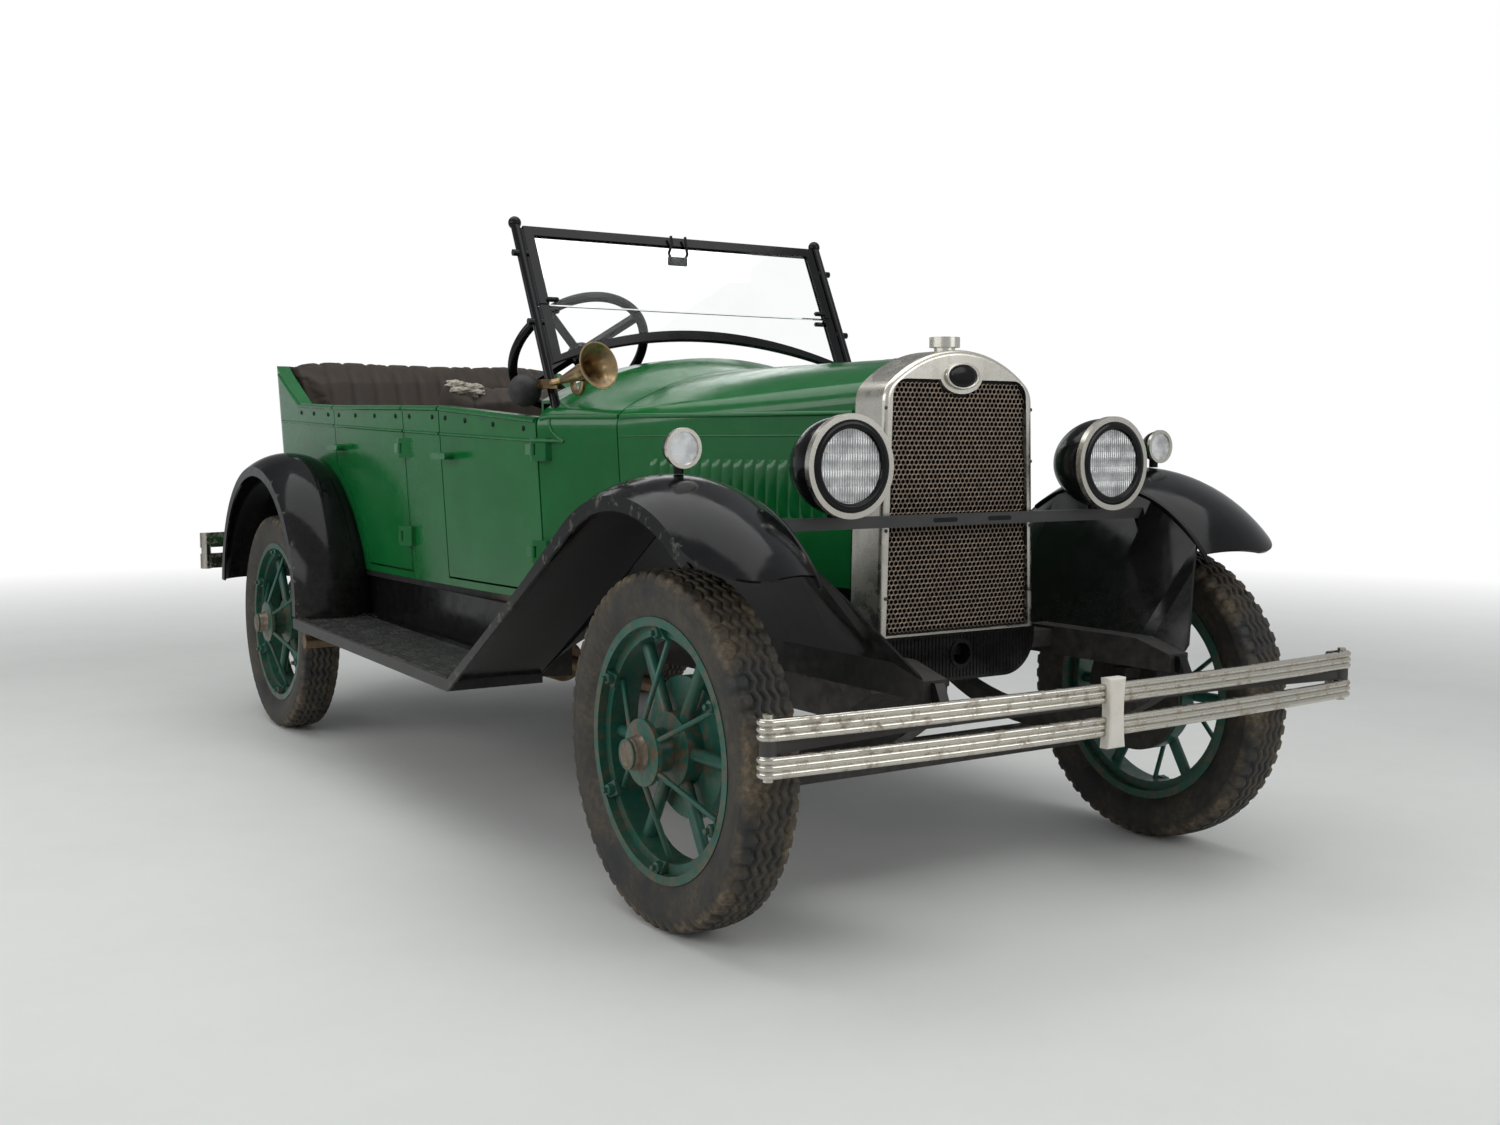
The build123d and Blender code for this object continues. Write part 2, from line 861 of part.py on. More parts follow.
def hinge_door(station, y, leaf_inner):
    """The barrels and moving leaves of one door's two hinges."""
    with BuildPart() as moving_hinge:
        for z in hinge_heights:
            low = z - hinge_half / 2 + 1
            with BuildSketch(plan(low)):
                with Locations((station, -y)):
                    Circle(barrel_radius)
                with BuildLine():
                    Polyline(
                        (station, -y - barrel_radius),
                        (station - leaf_length, -y - barrel_radius + 3),
                        (station - leaf_length, -leaf_inner),
                        (station - joint_gap, -leaf_inner),
                        (station, -y),
                        close=True,
                    )
                make_face()
                with Locations((station, -y)):
                    Circle(pin_radius + fit, mode=Mode.SUBTRACT)
            extrude(amount=hinge_half - 2)
    return moving_hinge.part


front_hinge = (cowl_rear - door_gap / 2, half_front + 9.5, half_front - 28)
rear_hinge = (rear_door_front + door_gap / 2, half_middle + 6, half_middle - 32)

# Sills with the centre posts between the doors
rear_hinge_right = hinge_body(*rear_hinge)
with BuildPart() as body_posts:
    add(body_wall.part)
    with BuildSketch(side(panel_reach)):
        with BuildLine():
            Polyline(
                (cowl_rear, sill_z),
                (cowl_rear, door_low - door_gap),
                (front_door_rear - door_gap, door_low - door_gap),
                (front_door_rear - door_gap, edge_middle_z),
                (rear_door_front + door_gap, edge_middle_z + 6),
                (rear_door_front + door_gap, door_low - door_gap),
                (tub_low_x, door_low - door_gap),
                (tub_low_x, sill_z),
                close=True,
            )
        make_face()
    extrude(amount=2 * panel_reach, mode=Mode.INTERSECT)
    add(rear_hinge_right)
    add(mirror(rear_hinge_right, about=Plane.XZ, mode=Mode.PRIVATE))
pieces["body_posts"] = body_posts

# Doors, hinged at their front edges, each with a lever handle near the rear edge
front_door_front = cowl_rear - door_gap
handle_rows = [
    ("front", front_door_rear + 70, 968, 616, front_hinge),
    ("rear", rear_door_rear + 70, 990, 634, rear_hinge),
]
with BuildPart() as door_front_right:
    add(body_wall.part)
    with BuildSketch(side()):
        with BuildLine():
            Polyline(
                (front_door_front, door_low),
                (front_door_front, edge_front_z),
                (front_door_rear, edge_middle_z),
                (front_door_rear, door_low),
                close=True,
            )
        make_face()
    extrude(amount=panel_reach, mode=Mode.INTERSECT)
with BuildPart() as door_rear_right:
    add(body_wall.part)
    with BuildSketch(side()):
        with BuildLine():
            Polyline(
                (door_low_x, door_low),
                (rear_door_front, door_low),
                (rear_door_front, edge_middle_z + 6),
                (rear_door_rear, edge_rear_z),
                (rear_door_rear, door_step_z),
            )
            ThreePointArc(
                (rear_door_rear, door_step_z), arch_point(cut_radius, 40), (door_low_x, door_low)
            )
        make_face()
    extrude(amount=panel_reach, mode=Mode.INTERSECT)
for door, (name, station, z, stand, hinge) in zip((door_front_right, door_rear_right), handle_rows):
    with BuildPart() as handle:
        with BuildSketch(side(-half_front)):
            with Locations((station, z)):
                Circle(11)
        extrude(amount=stand + 8 - half_front)
        with BuildSketch(side(-stand)):
            with Locations((station - 5, z)):
                SlotOverall(110, 18)
        extrude(amount=14)
        add(body_inside.part, mode=Mode.SUBTRACT)
    moving_leaves = hinge_door(*hinge)
    with BuildPart() as right_door:
        add(door.part)
        add(handle.part)
        add(moving_leaves)
    with BuildPart() as left_door:
        mirror(right_door.part, about=Plane.XZ)
    pieces["door_" + name + "_right"] = right_door
    pieces["door_" + name + "_left"] = left_door

# Cowl: tapers from the bonnet to the body and carries the dash
half_front_low = half_front + flare * (sill_z - belt_z)
cowl_wall = 30
dash_depth = 115
dash_half = half_front - wall - 25
dash_skin = 12
cowl_front_sizes = (bonnet_half_rear_low - 6, bonnet_half_rear, sill_z, bonnet_top, crease_z)
cowl_rear_sizes = (half_front_low, half_front, sill_z, cowl_top, crease_z)
wheel_spot = at(*wheel_centre)
column_down = (cos(radians(column_angle)), 0, -sin(radians(column_angle)))
column_plane = Plane(origin=wheel_spot, x_dir=(0, 1, 0), z_dir=column_down)
column_radius = 19
column_length = 1060
with BuildPart() as dash:
    extrude(bonnet_section(cowl_rear, *cowl_rear_sizes, 0), dash_depth, dir=backward)
    extrude(
        bonnet_section(cowl_rear, *cowl_rear_sizes, dash_skin),
        dash_depth - dash_skin,
        dir=backward,
        mode=Mode.SUBTRACT,
    )
    with BuildSketch(across(cowl_rear)):
        with Locations((0, 985)):
            Rectangle(2 * dash_half, 400, align=(Align.CENTER, Align.MIN))
    extrude(amount=-dash_depth, mode=Mode.INTERSECT)
front_hinge_right = hinge_body(*front_hinge)
with BuildPart() as cowl:
    loft(
        [
            bonnet_section(cowl_front, *cowl_front_sizes, 0),
            bonnet_section(cowl_rear, *cowl_rear_sizes, 0),
        ]
    )
    loft(
        [
            bonnet_section(cowl_front, *cowl_front_sizes, cowl_wall),
            bonnet_section(cowl_rear, *cowl_rear_sizes, cowl_wall),
        ],
        mode=Mode.SUBTRACT,
    )
    extrude(bonnet_section(cowl_front, *cowl_front_sizes, cowl_wall / 2), dash_skin, dir=backward)
    add(dash.part)
    add(front_hinge_right)
    add(mirror(front_hinge_right, about=Plane.XZ, mode=Mode.PRIVATE))
    with BuildSketch(column_plane):
        Circle(column_radius + joint_gap)
    extrude(amount=column_length, mode=Mode.SUBTRACT)
    add(floor.part, mode=Mode.SUBTRACT)
pieces["cowl"] = cowl

# Bonnet: two halves on a rod along the middle, each a top and a side in one piece
bonnet_front = shell_rear - joint_gap
bonnet_rear = cowl_front + joint_gap
hinge_z = bonnet_top - 8
hinge_radius = 6
barrel_wall = 4
barrel_half = 25
barrel_leaf = 12
bonnet_edge = 19
bonnet_open = 40
front_half_low = shell_half + (shell_half_low - shell_half) * (shoulder_z - bonnet_low) / (
    shoulder_z - shell_low
)
bonnet_front_sizes = (front_half_low, shell_half, bonnet_low, bonnet_top, shoulder_z)
bonnet_rear_sizes = (bonnet_half_rear_low, bonnet_half_rear, bonnet_low, bonnet_top, crease_z)
open_front_sizes = (front_half_low, shell_half, bonnet_low - bonnet_open, bonnet_top, shoulder_z)
open_rear_sizes = (bonnet_half_rear_low, bonnet_half_rear, bonnet_low - bonnet_open, bonnet_top, crease_z)
with BuildPart() as bonnet_half:
    loft(
        [
            bonnet_section(bonnet_front, *bonnet_front_sizes, 0),
            bonnet_section(bonnet_rear, *bonnet_rear_sizes, 0),
        ]
    )
    loft(
        [
            bonnet_section(bonnet_front, *open_front_sizes, bonnet_skin),
            bonnet_section(bonnet_rear, *open_rear_sizes, bonnet_skin),
        ],
        mode=Mode.SUBTRACT,
    )
    split(bisect_by=Plane.XZ.offset(bonnet_edge), keep=Keep.TOP)


def bonnet_barrels(stations):
    """Barrels round the bonnet's rod, each with a leaf to the right half's top."""
    with BuildPart() as barrels:
        for station in stations:
            with BuildSketch(across(station)):
                with Locations((0, hinge_z)):
                    Circle(hinge_radius + barrel_wall)
                with Locations((0, bonnet_top)):
                    Rectangle(bonnet_edge + barrel_leaf, bonnet_skin, align=(Align.MAX, Align.MAX))
                with Locations((0, hinge_z)):
                    Circle(hinge_radius + fit, mode=Mode.SUBTRACT)
            extrude(amount=barrel_half, both=True)
    return barrels.part


right_barrels = bonnet_barrels([-120, -400, -680])
left_barrels = bonnet_barrels([-190, -470, -745])
with BuildPart() as bonnet_right:
    add(bonnet_half.part)
    add(right_barrels)
with BuildPart() as bonnet_left:
    add(bonnet_half.part)
    add(left_barrels)
    mirror(about=Plane.XZ, mode=Mode.REPLACE)
with BuildPart() as bonnet_hinge:
    with BuildSketch(across(cowl_front)):
        with Locations((0, hinge_z)):
            Circle(hinge_radius)
    extrude(amount=shell_rear - cowl_front)
pieces["bonnet_right"] = bonnet_right
pieces["bonnet_left"] = bonnet_left
pieces["bonnet_hinge"] = bonnet_hinge

# Ledges between the frame and the bonnet's lower edges
ledge_thick = 10
ledge_out = rail_outer - 10
skirt_rear = -300
with BuildPart() as bonnet_ledges:
    with BuildSketch(plan(rail_top)):
        with BuildLine():
            Polyline(
                (bonnet_front, -front_half_low + ledge_thick),
                (bonnet_front, -ledge_out),
                (skirt_rear - ledge_thick, -ledge_out),
                (bonnet_rear, -bonnet_half_rear_low),
                (bonnet_rear, -bonnet_half_rear_low + ledge_thick),
                close=True,
            )
        make_face()
    extrude(amount=ledge_thick)
    with BuildSketch(plan(rail_top)):
        with BuildLine():
            Polyline(
                (bonnet_front, -front_half_low + ledge_thick),
                (bonnet_front, -front_half_low),
                (bonnet_rear, -bonnet_half_rear_low),
                (bonnet_rear, -bonnet_half_rear_low + ledge_thick),
                close=True,
            )
        make_face()
    extrude(amount=bonnet_low - joint_gap - rail_top)
    mirror(about=Plane.XZ)
pieces["bonnet_ledges"] = bonnet_ledges

# Radiator: plated shell with a filler cap, the core inside it and the apron below
shell_face = 18
core_low = 582
core_top = 1150
core_corner = 40
core_recess = 12
badge_z = 1158
badge_half = (62, 40)
shell_swell = 4
shell_round = 12
core_clear = 15
filler_station = 2
neck_radius = 24
neck_height = 20
neck_sink = 6
filler_radius = 35
filler_height = 23
filler_rise = 8


def grille_opening(station):
    """The opening in the radiator shell, flat across the top with round corners."""
    with BuildSketch(across(station)) as opening:
        with BuildLine():
            Polyline(
                (-shell_half + shell_face, core_top),
                (-shell_half_low + shell_face, core_low),
                (shell_half_low - shell_face, core_low),
                (shell_half - shell_face, core_top),
                close=True,
            )
        make_face()
        fillet(opening.vertices().group_by(Axis.Y)[-1], core_corner)
    return opening.sketch


with BuildPart() as radiator_shell:
    extrude(
        bonnet_section(
            shell_rear, shell_half_low, shell_half + shell_swell, shell_low, shell_top, shoulder_z, 0
        ),
        shell_front - shell_rear,
        dir=forward,
    )
    fillet(radiator_shell.faces().sort_by(Axis.X)[-1].edges().group_by(Axis.Z)[-1], shell_round)
    extrude(
        grille_opening(shell_rear), shell_front - shell_rear, dir=forward, mode=Mode.SUBTRACT
    )
    with BuildSketch(across(shell_front)):
        with Locations((0, badge_z)):
            Ellipse(*badge_half)
    extrude(amount=-core_recess)
    with Locations(at(filler_station, 0, shell_top - neck_sink)):
        Cylinder(neck_radius, neck_height, align=(Align.CENTER, Align.CENTER, Align.MIN))
    with Locations(at(filler_station, 0, shell_top + filler_rise)):
        Cylinder(filler_radius, filler_height, align=(Align.CENTER, Align.CENTER, Align.MIN))
core_rear = shell_rear + core_clear
with BuildPart() as radiator_core:
    extrude(grille_opening(core_rear), shell_front - core_recess - core_rear, dir=forward)
crank_z = 529
crank_radius = 25
apron_skin = 6
apron_low = 468
apron_corner = 92
crank_ring = 4
crank_rim = 8
apron_gap = 4
apron_top = core_low - apron_gap
with BuildPart() as radiator_apron:
    with BuildSketch(across(shell_front)) as apron_face:
        with Locations((0, apron_top)):
            Rectangle(
                2 * (shell_half_low - apron_gap), apron_top - apron_low, align=(Align.CENTER, Align.MAX)
            )
        fillet(apron_face.vertices().group_by(Axis.Y)[0], apron_corner)
    extrude(amount=apron_skin)
    with BuildSketch(across(shell_front + apron_skin)):
        with Locations((0, crank_z)):
            Circle(crank_radius + crank_rim)
    extrude(amount=crank_ring)
    with BuildSketch(across(shell_front)):
        with Locations((0, crank_z)):
            Circle(crank_radius)
    extrude(amount=apron_skin + crank_ring, mode=Mode.SUBTRACT)
pieces["radiator_shell"] = radiator_shell
pieces["radiator_core"] = radiator_core
pieces["radiator_apron"] = radiator_apron

# Front fenders: a crowned arch, a tail that flattens to the running board and an inner skirt
front_inner = fender_out - 270
front_flange = 32
front_crown = 76
front_inner_rise = 38
tail_start = arch_plane(front_arch, front_lip_radius, front_tail_angle)
tail_sections = [(-610, 22, 52, 24), (board_front + fit, front_flange, 34, front_flange)]
skirt_stations = [262, 120, -50, -200, skirt_rear]
skirt_tip = 392
tail_rows = [(skirt_rear, 826), (-450, 724), (-600, 612), (-780, 505), (board_front + 5, 408)]
edge_square = (front_lip_radius + front_inner_rise - fender_skin / 2) ** 2


def skirt_section(station, inner, low, outer, high):
    """A section of the sheet between the frame and a front fender's inner edge."""
    with BuildSketch(across(station)) as skirt:
        with BuildLine():
            Polyline(
                (-inner, low), (-inner - 6, low), (-outer - 6, high), (-outer + 1, high), close=True
            )
        make_face()
    return skirt.sketch


with BuildPart() as front_fenders:
    with BuildLine(side()):
        CenterArc(
            front_arch, front_lip_radius, front_nose_angle, front_tail_angle - front_nose_angle
        )
    add(
        fender_profile(
            arch_plane(front_arch, front_lip_radius, front_nose_angle),
            fender_out,
            front_inner,
            front_flange,
            front_crown,
            front_inner_rise,
        )
    )
    sweep()
    nose = arch_plane(front_arch, front_lip_radius, front_nose_angle)
    with BuildSketch(Plane(origin=nose.origin, x_dir=nose.x_dir, z_dir=nose.y_dir)):
        with BuildLine():
            corner_arc = ThreePointArc(
                (-fender_out, nose_round),
                (-fender_out + nose_round * (1 - sqrt(0.5)), nose_round * (1 - sqrt(0.5))),
                (-fender_out + nose_round, 0),
            )
            Polyline(
                corner_arc @ 1,
                (-front_inner + fender_skin, nose_inner_cut),
                (-front_inner + fender_skin, -fender_skin),
                (-fender_out - fender_skin, -fender_skin),
                (-fender_out - fender_skin, nose_round),
                corner_arc @ 0,
            )
        make_face()
    extrude(amount=2 * front_crown, both=True, mode=Mode.SUBTRACT)
    tail_angle = radians(front_tail_angle)
    tail_top = (
        front_arch[0] + front_lip_radius * cos(tail_angle),
        front_arch[1] + front_lip_radius * sin(tail_angle),
    )
    tail_slope = front_tail_angle - 90
    middle_station = tail_sections[0][0]
    middle_z = tail_top[1] - (tail_top[0] - middle_station) * tan(radians(tail_slope))
    loft(
        [
            fender_profile(
                tail_start, fender_out, front_inner, front_flange, front_crown, front_inner_rise
            ),
            fender_profile(
                Plane(
                    origin=at(middle_station, 0, middle_z),
                    x_dir=(0, 1, 0),
                    z_dir=(cos(radians(tail_slope)), 0, sin(radians(tail_slope))),
                ),
                fender_out,
                front_inner,
                *tail_sections[0][1:],
            ),
            fender_profile(
                Plane(
                    origin=at(board_front + fit, 0, board_front_z - front_flange),
                    x_dir=(0, 1, 0),
                    z_dir=(1, 0, 0),
                ),
                fender_out,
                front_inner,
                *tail_sections[1][1:],
            ),
        ]
    )
    skirt_sections = []
    for station in skirt_stations:
        edge_z = front_arch[1] + sqrt(edge_square - (station - front_arch[0]) ** 2)
        skirt_sections.append(skirt_section(station, rail_outer - 4, rail_top, front_inner, edge_z))
    loft(skirt_sections, ruled=True)
    nose_edge = front_arch[1] + sqrt(edge_square - (skirt_stations[0] - front_arch[0]) ** 2)
    nose_rows = [
        (skirt_stations[0], rail_top, front_inner, nose_edge),
        (300, rail_top, 0.7 * front_inner + 0.3 * rail_outer, 0.7 * nose_edge + 0.3 * rail_top),
        (skirt_tip, 543, rail_outer + 8, 556),
    ]
    nose_sections = []
    for station, low, outer, high in nose_rows:
        nose_sections.append(skirt_section(station, rail_outer - 4, low, outer, high))
    loft(nose_sections, ruled=True)
    tail_skirt = []
    for station, high in tail_rows:
        with BuildSketch(across(station)) as tail_section:
            with BuildLine():
                Polyline(
                    (-rail_outer - 1, rail_top - 1),
                    (-rail_outer - 1, rail_top - 10),
                    (-front_inner - 6, high - 8),
                    (-front_inner + 1, high),
                    close=True,
                )
            make_face()
        tail_skirt.append(tail_section.sketch)
    loft(tail_skirt, ruled=True)
    mirror(about=Plane.XZ)
    add(bonnet_ledges.part, mode=Mode.SUBTRACT)
pieces["front_fenders"] = front_fenders

# Rear fenders: a crowned arch seated on the body's side
rear_inner = fender_out - 274
with BuildPart() as rear_fenders:
    with BuildLine(side()):
        CenterArc((rear_axle, rear_arch_z), rear_lip_radius, -3, 179)
    add(
        fender_profile(
            arch_plane((rear_axle, rear_arch_z), rear_lip_radius, -3),
            fender_out,
            rear_inner,
            front_flange,
            rear_ridge,
            12,
        )
    )
    sweep()
    mirror(about=Plane.XZ)
    add(body_solid.part, mode=Mode.SUBTRACT)
    add(floor.part, mode=Mode.SUBTRACT)
    add(running_boards.part, mode=Mode.SUBTRACT)
pieces["rear_fenders"] = rear_fenders

# Splash aprons between the running boards and the body
with BuildPart() as splash_aprons:
    with BuildSketch(side(-board_inner + 14)):
        with BuildLine():
            Polyline(
                (board_front, rail_top),
                (-2200, rail_top),
                (-2200, board_top(-2200) - board_thick),
                (board_front, board_front_z - board_thick),
                close=True,
            )
        make_face()
    extrude(amount=14)
    mirror(about=Plane.XZ)
    add(rear_fenders.part, mode=Mode.SUBTRACT)
    add(chassis_frame.part, mode=Mode.SUBTRACT)
pieces["splash_aprons"] = splash_aprons

# Lamp bar between the fender skirts, and the lamps
bar_half_height = 13
lamp_bar_thick = 12
bar_overlap = 20
with BuildPart() as bar_blank:
    with BuildSketch(across(bar_station)):
        with Locations((0, bar_z)):
            Rectangle(2 * (front_inner + bar_overlap), 2 * bar_half_height)
    extrude(amount=lamp_bar_thick / 2, both=True)
    add(front_fenders.part, mode=Mode.SUBTRACT)
bar_lengths = bar_blank.part.solids().sort_by(SortBy.VOLUME)
with BuildPart() as lamp_bar:
    add(bar_lengths[-1])
pieces["lamp_bar"] = lamp_bar

side_lamp_radius = 42
stalk_radius = 11
stalk_station = side_lamp[0] - 24
with BuildPart() as lamp_bowls:
    with BuildSketch(side(-lamp_y)):
        with BuildLine():
            Line((lamp_front - lamp_length, lamp_z), (lamp_front - 15, lamp_z))
            Line((lamp_front - 15, lamp_z), (lamp_front - 15, lamp_z + lamp_radius - 6))
            ThreePointArc(
                (lamp_front - 15, lamp_z + lamp_radius - 6),
                (lamp_front - 110, lamp_z + 84),
                (lamp_front - lamp_length, lamp_z),
            )
        make_face()
    revolve(axis=Axis(at(0, -lamp_y, lamp_z), (1, 0, 0)))
    with Locations(at(bar_station, -lamp_y, bar_z + bar_half_height)):
        Cylinder(15, 40, align=(Align.CENTER, Align.CENTER, Align.MIN))
    lamp_x, small_y, small_z = side_lamp
    with BuildSketch(side(-small_y)):
        with BuildLine():
            Line((lamp_x - 55, small_z), (lamp_x - 8, small_z))
            Line((lamp_x - 8, small_z), (lamp_x - 8, small_z + side_lamp_radius - 3))
            ThreePointArc(
                (lamp_x - 8, small_z + side_lamp_radius - 3),
                (lamp_x - 40, small_z + 28),
                (lamp_x - 55, small_z),
            )
        make_face()
    revolve(axis=Axis(at(0, -small_y, small_z), (1, 0, 0)))
    stalk_low = front_arch[1] + fit + sqrt(
        (front_lip_radius + front_crown) ** 2 - (stalk_station - stalk_radius - front_arch[0]) ** 2
    )
    with Locations(at(stalk_station, -small_y, stalk_low)):
        Cylinder(
            stalk_radius, small_z - 20 - stalk_low, align=(Align.CENTER, Align.CENTER, Align.MIN)
        )
    mirror(about=Plane.XZ)
pieces["lamp_bowls"] = lamp_bowls

lamp_rows = [
    (lamp_front, lamp_y, lamp_z, lamp_radius, lens_radius, 15),
    (lamp_x, small_y, small_z, side_lamp_radius, 34, 8),
]
with BuildPart() as lamp_rims:
    for station, y, z, outer, inner, depth in lamp_rows:
        with BuildSketch(across(station - depth)):
            with Locations((-y, z)):
                Circle(outer)
                Circle(inner, mode=Mode.SUBTRACT)
        extrude(amount=depth)
    mirror(about=Plane.XZ)
with BuildPart() as lamp_lenses:
    for station, y, z, outer, inner, depth in lamp_rows:
        with BuildSketch(across(station - depth)):
            with Locations((-y, z)):
                Circle(inner)
        extrude(amount=depth * 0.6)
    mirror(about=Plane.XZ)
pieces["lamp_rims"] = lamp_rims
pieces["lamp_lenses"] = lamp_lenses

# Front bumper: two bowed bars with rolled ends on a pin, a spring bar behind and a centre clamp
bar_height = 40
bar_thick = 12
bar_low_z = 415
bar_high_z = 483
bumper_end = 508
clamp_face = front_overhang
clamp_cover = 10
bumper_middle = clamp_face - clamp_cover
eye_radius = 21
eye_tail = 34
bar_ribs = 3
rib_rise = 4
pin_reach = 7
spring_bar_thick = 10
spring_bar_room = 1
back_station = 446
back_half = 420
spacer_wall = 6


def ribbed_bar(low):
    """One bowed bumper bar with round ribs along its face and an eye rolled at each end."""
    rib = bar_height / bar_ribs
    end_y = fender_out - eye_radius
    with BuildPart() as bar:
        with BuildLine(plan(low)) as bow:
            front = ThreePointArc((bumper_end, -end_y), (bumper_middle, 0), (bumper_end, end_y))
            right_eye = JernArc(front @ 0, -(front % 0), eye_radius, -180)
            left_eye = JernArc(front @ 1, front % 1, eye_radius, 180)
            Line(right_eye @ 1, right_eye @ 1 + eye_tail * (right_eye % 1))
            Line(left_eye @ 1, left_eye @ 1 + eye_tail * (left_eye % 1))
        path = bow.wire()
        with BuildSketch(Plane(origin=path @ 0, x_dir=upward, z_dir=path % 0)):
            with BuildLine():
                Polyline((0, -rib_rise), (0, -bar_thick), (bar_height, -bar_thick), (bar_height, -rib_rise))
                for number in range(bar_ribs):
                    ThreePointArc(
                        (number * rib, -rib_rise),
                        ((number + 0.5) * rib, 0),
                        ((number + 1) * rib, -rib_rise),
                    )
            make_face()
        sweep(path=path)
    return bar.part, right_eye.arc_center


low_bar, eye_centre = ribbed_bar(bar_low_z)
high_bar, _ = ribbed_bar(bar_high_z)
eye_pin = eye_radius - bar_thick + 0.5
eye_station = eye_centre.X - at(0, 0, 0)[0]
eye_y = -eye_centre.Y
gap_low = bar_low_z + bar_height
with BuildPart() as front_bumper:
    add(low_bar)
    add(high_bar)
    for y in (-eye_y, eye_y):
        with Locations(at(eye_station, y, bar_low_z - pin_reach)):
            Cylinder(
                eye_pin,
                bar_high_z + bar_height - bar_low_z + 2 * pin_reach,
                align=(Align.CENTER, Align.CENTER, Align.MIN),
            )
        with Locations(at(eye_station, y, gap_low)):
            Cylinder(
                eye_pin + spacer_wall,
                bar_high_z - gap_low,
                align=(Align.CENTER, Align.CENTER, Align.MIN),
            )
    with BuildSketch(plan(gap_low + spring_bar_room)):
        with BuildLine():
            Polyline(
                (eye_station + spring_bar_thick / 2, -eye_y),
                (back_station, -back_half),
                (back_station, back_half),
                (eye_station + spring_bar_thick / 2, eye_y),
                (eye_station - spring_bar_thick / 2, eye_y),
                (back_station - spring_bar_thick, back_half),
                (back_station - spring_bar_thick, -back_half),
                (eye_station - spring_bar_thick / 2, -eye_y),
                close=True,
            )
        make_face()
    extrude(amount=bar_high_z - gap_low - 2 * spring_bar_room)

clamp_half = 25
clamp_waist = 20
clamp_low = 391
clamp_high = 535
clamp_depth = 24
clamp_round = 5
with BuildPart() as bumper_clamp:
    with BuildSketch(across(clamp_face)):
        with BuildLine():
            for side_y in (-1, 1):
                ThreePointArc(
                    (side_y * clamp_half, clamp_low),
                    (side_y * clamp_waist, (clamp_low + clamp_high) / 2),
                    (side_y * clamp_half, clamp_high),
                )
            Line((-clamp_half, clamp_low), (clamp_half, clamp_low))
            Line((-clamp_half, clamp_high), (clamp_half, clamp_high))
        make_face()
    extrude(amount=-clamp_depth)
    fillet(bumper_clamp.faces().sort_by(Axis.X)[-1].edges(), clamp_round)
    add(front_bumper.part, mode=Mode.SUBTRACT)
pieces["front_bumper"] = front_bumper
pieces["bumper_clamp"] = bumper_clamp

# Rear bumpers: a pair of short double bars either side of the spare
rear_end = rear_axle - rear_overhang
rear_bar_low = 512
rear_bar_height = 58
rear_bar_gap = 24
rear_bar_inner = 400
end_radius = 18
with BuildPart() as rear_bumpers:
    for low in (rear_bar_low, rear_bar_low + rear_bar_height + rear_bar_gap):
        with BuildSketch(plan(low)):
            with BuildLine():
                ThreePointArc(
                    (rear_end + 30, -fender_out),
                    (rear_end, -(fender_out + rear_bar_inner) / 2),
                    (rear_end + 30, -rear_bar_inner),
                )
                Line((rear_end + 30, -rear_bar_inner), (rear_end + 42, -rear_bar_inner))
                ThreePointArc(
                    (rear_end + 42, -rear_bar_inner),
                    (rear_end + 12, -(fender_out + rear_bar_inner) / 2),
                    (rear_end + 42, -fender_out),
                )
                Line((rear_end + 42, -fender_out), (rear_end + 30, -fender_out))
            make_face()
        extrude(amount=rear_bar_height)
    for y in (fender_out - 20, rear_bar_inner + 20):
        with Locations(at(rear_end + 42, -y, rear_bar_low)):
            Cylinder(
                end_radius,
                2 * rear_bar_height + rear_bar_gap,
                align=(Align.CENTER, Align.CENTER, Align.MIN),
            )
    mirror(about=Plane.XZ)

# Irons that carry the bumpers from the frame's ends
with BuildPart() as bumper_irons:
    with BuildSketch(side(-spring_y + 12)):
        with BuildLine():
            Polyline(
                (horn_tip, rail_horn_low + 36),
                (horn_tip + 12, rail_horn_low + 36),
                (back_station - spring_bar_thick, bar_low_z + 70),
                (back_station - spring_bar_thick, bar_low_z + 38),
                (horn_tip, rail_horn_low + 4),
                close=True,
            )
        make_face()
    extrude(amount=24)
    with BuildSketch(plan(rear_bar_low + 4)):
        with BuildLine():
            Polyline(
                (rail_end, -spring_y),
                (rear_end + 20, -rear_bar_inner - 50),
                (rear_end + 20, -rear_bar_inner - 74),
                (rail_end, -spring_y - 24),
                close=True,
            )
        make_face()
    extrude(amount=rear_bar_height - 10)
    mirror(about=Plane.XZ)
    add(rear_bumpers.part, mode=Mode.SUBTRACT)
pieces["rear_bumpers"] = rear_bumpers
pieces["bumper_irons"] = bumper_irons

# Windscreen: raked posts, an upper pane, and a lower pane with an arched bottom rail
screen_plane = Plane(
    origin=at(post_base[0], 0, post_base[1]),
    x_dir=(0, 1, 0),
    z_dir=(cos(radians(post_rake)), 0, sin(radians(post_rake))),
)
split_height = 314
split_gap = 4
corner_height = 136
arch_height = 226
glass_half = 3
frame_depth = 8
knob_heights = [478, 264]
knob_radius = 9
with BuildPart() as whole_posts:
    for y in (-post_y, post_y):
        with BuildSketch(Plane(origin=screen_plane.from_local_coords((y, 0, 0)), z_dir=screen_plane.y_dir)):
            Circle(post_radius)
        extrude(amount=post_length)
        with Locations(screen_plane.from_local_coords((y, post_length + 12, 0))):
            Sphere(18)
    for height in knob_heights:
        for y, turn in ((-post_y, -1), (post_y, 1)):
            start = screen_plane.from_local_coords((turn * screen_half, height, 0))
            with BuildSketch(Plane(origin=start, z_dir=(0, turn, 0))):
                Circle(knob_radius)
            extrude(amount=post_y + 26 - screen_half)
    add(cowl.part, mode=Mode.SUBTRACT)
    add(dash.part, mode=Mode.SUBTRACT)
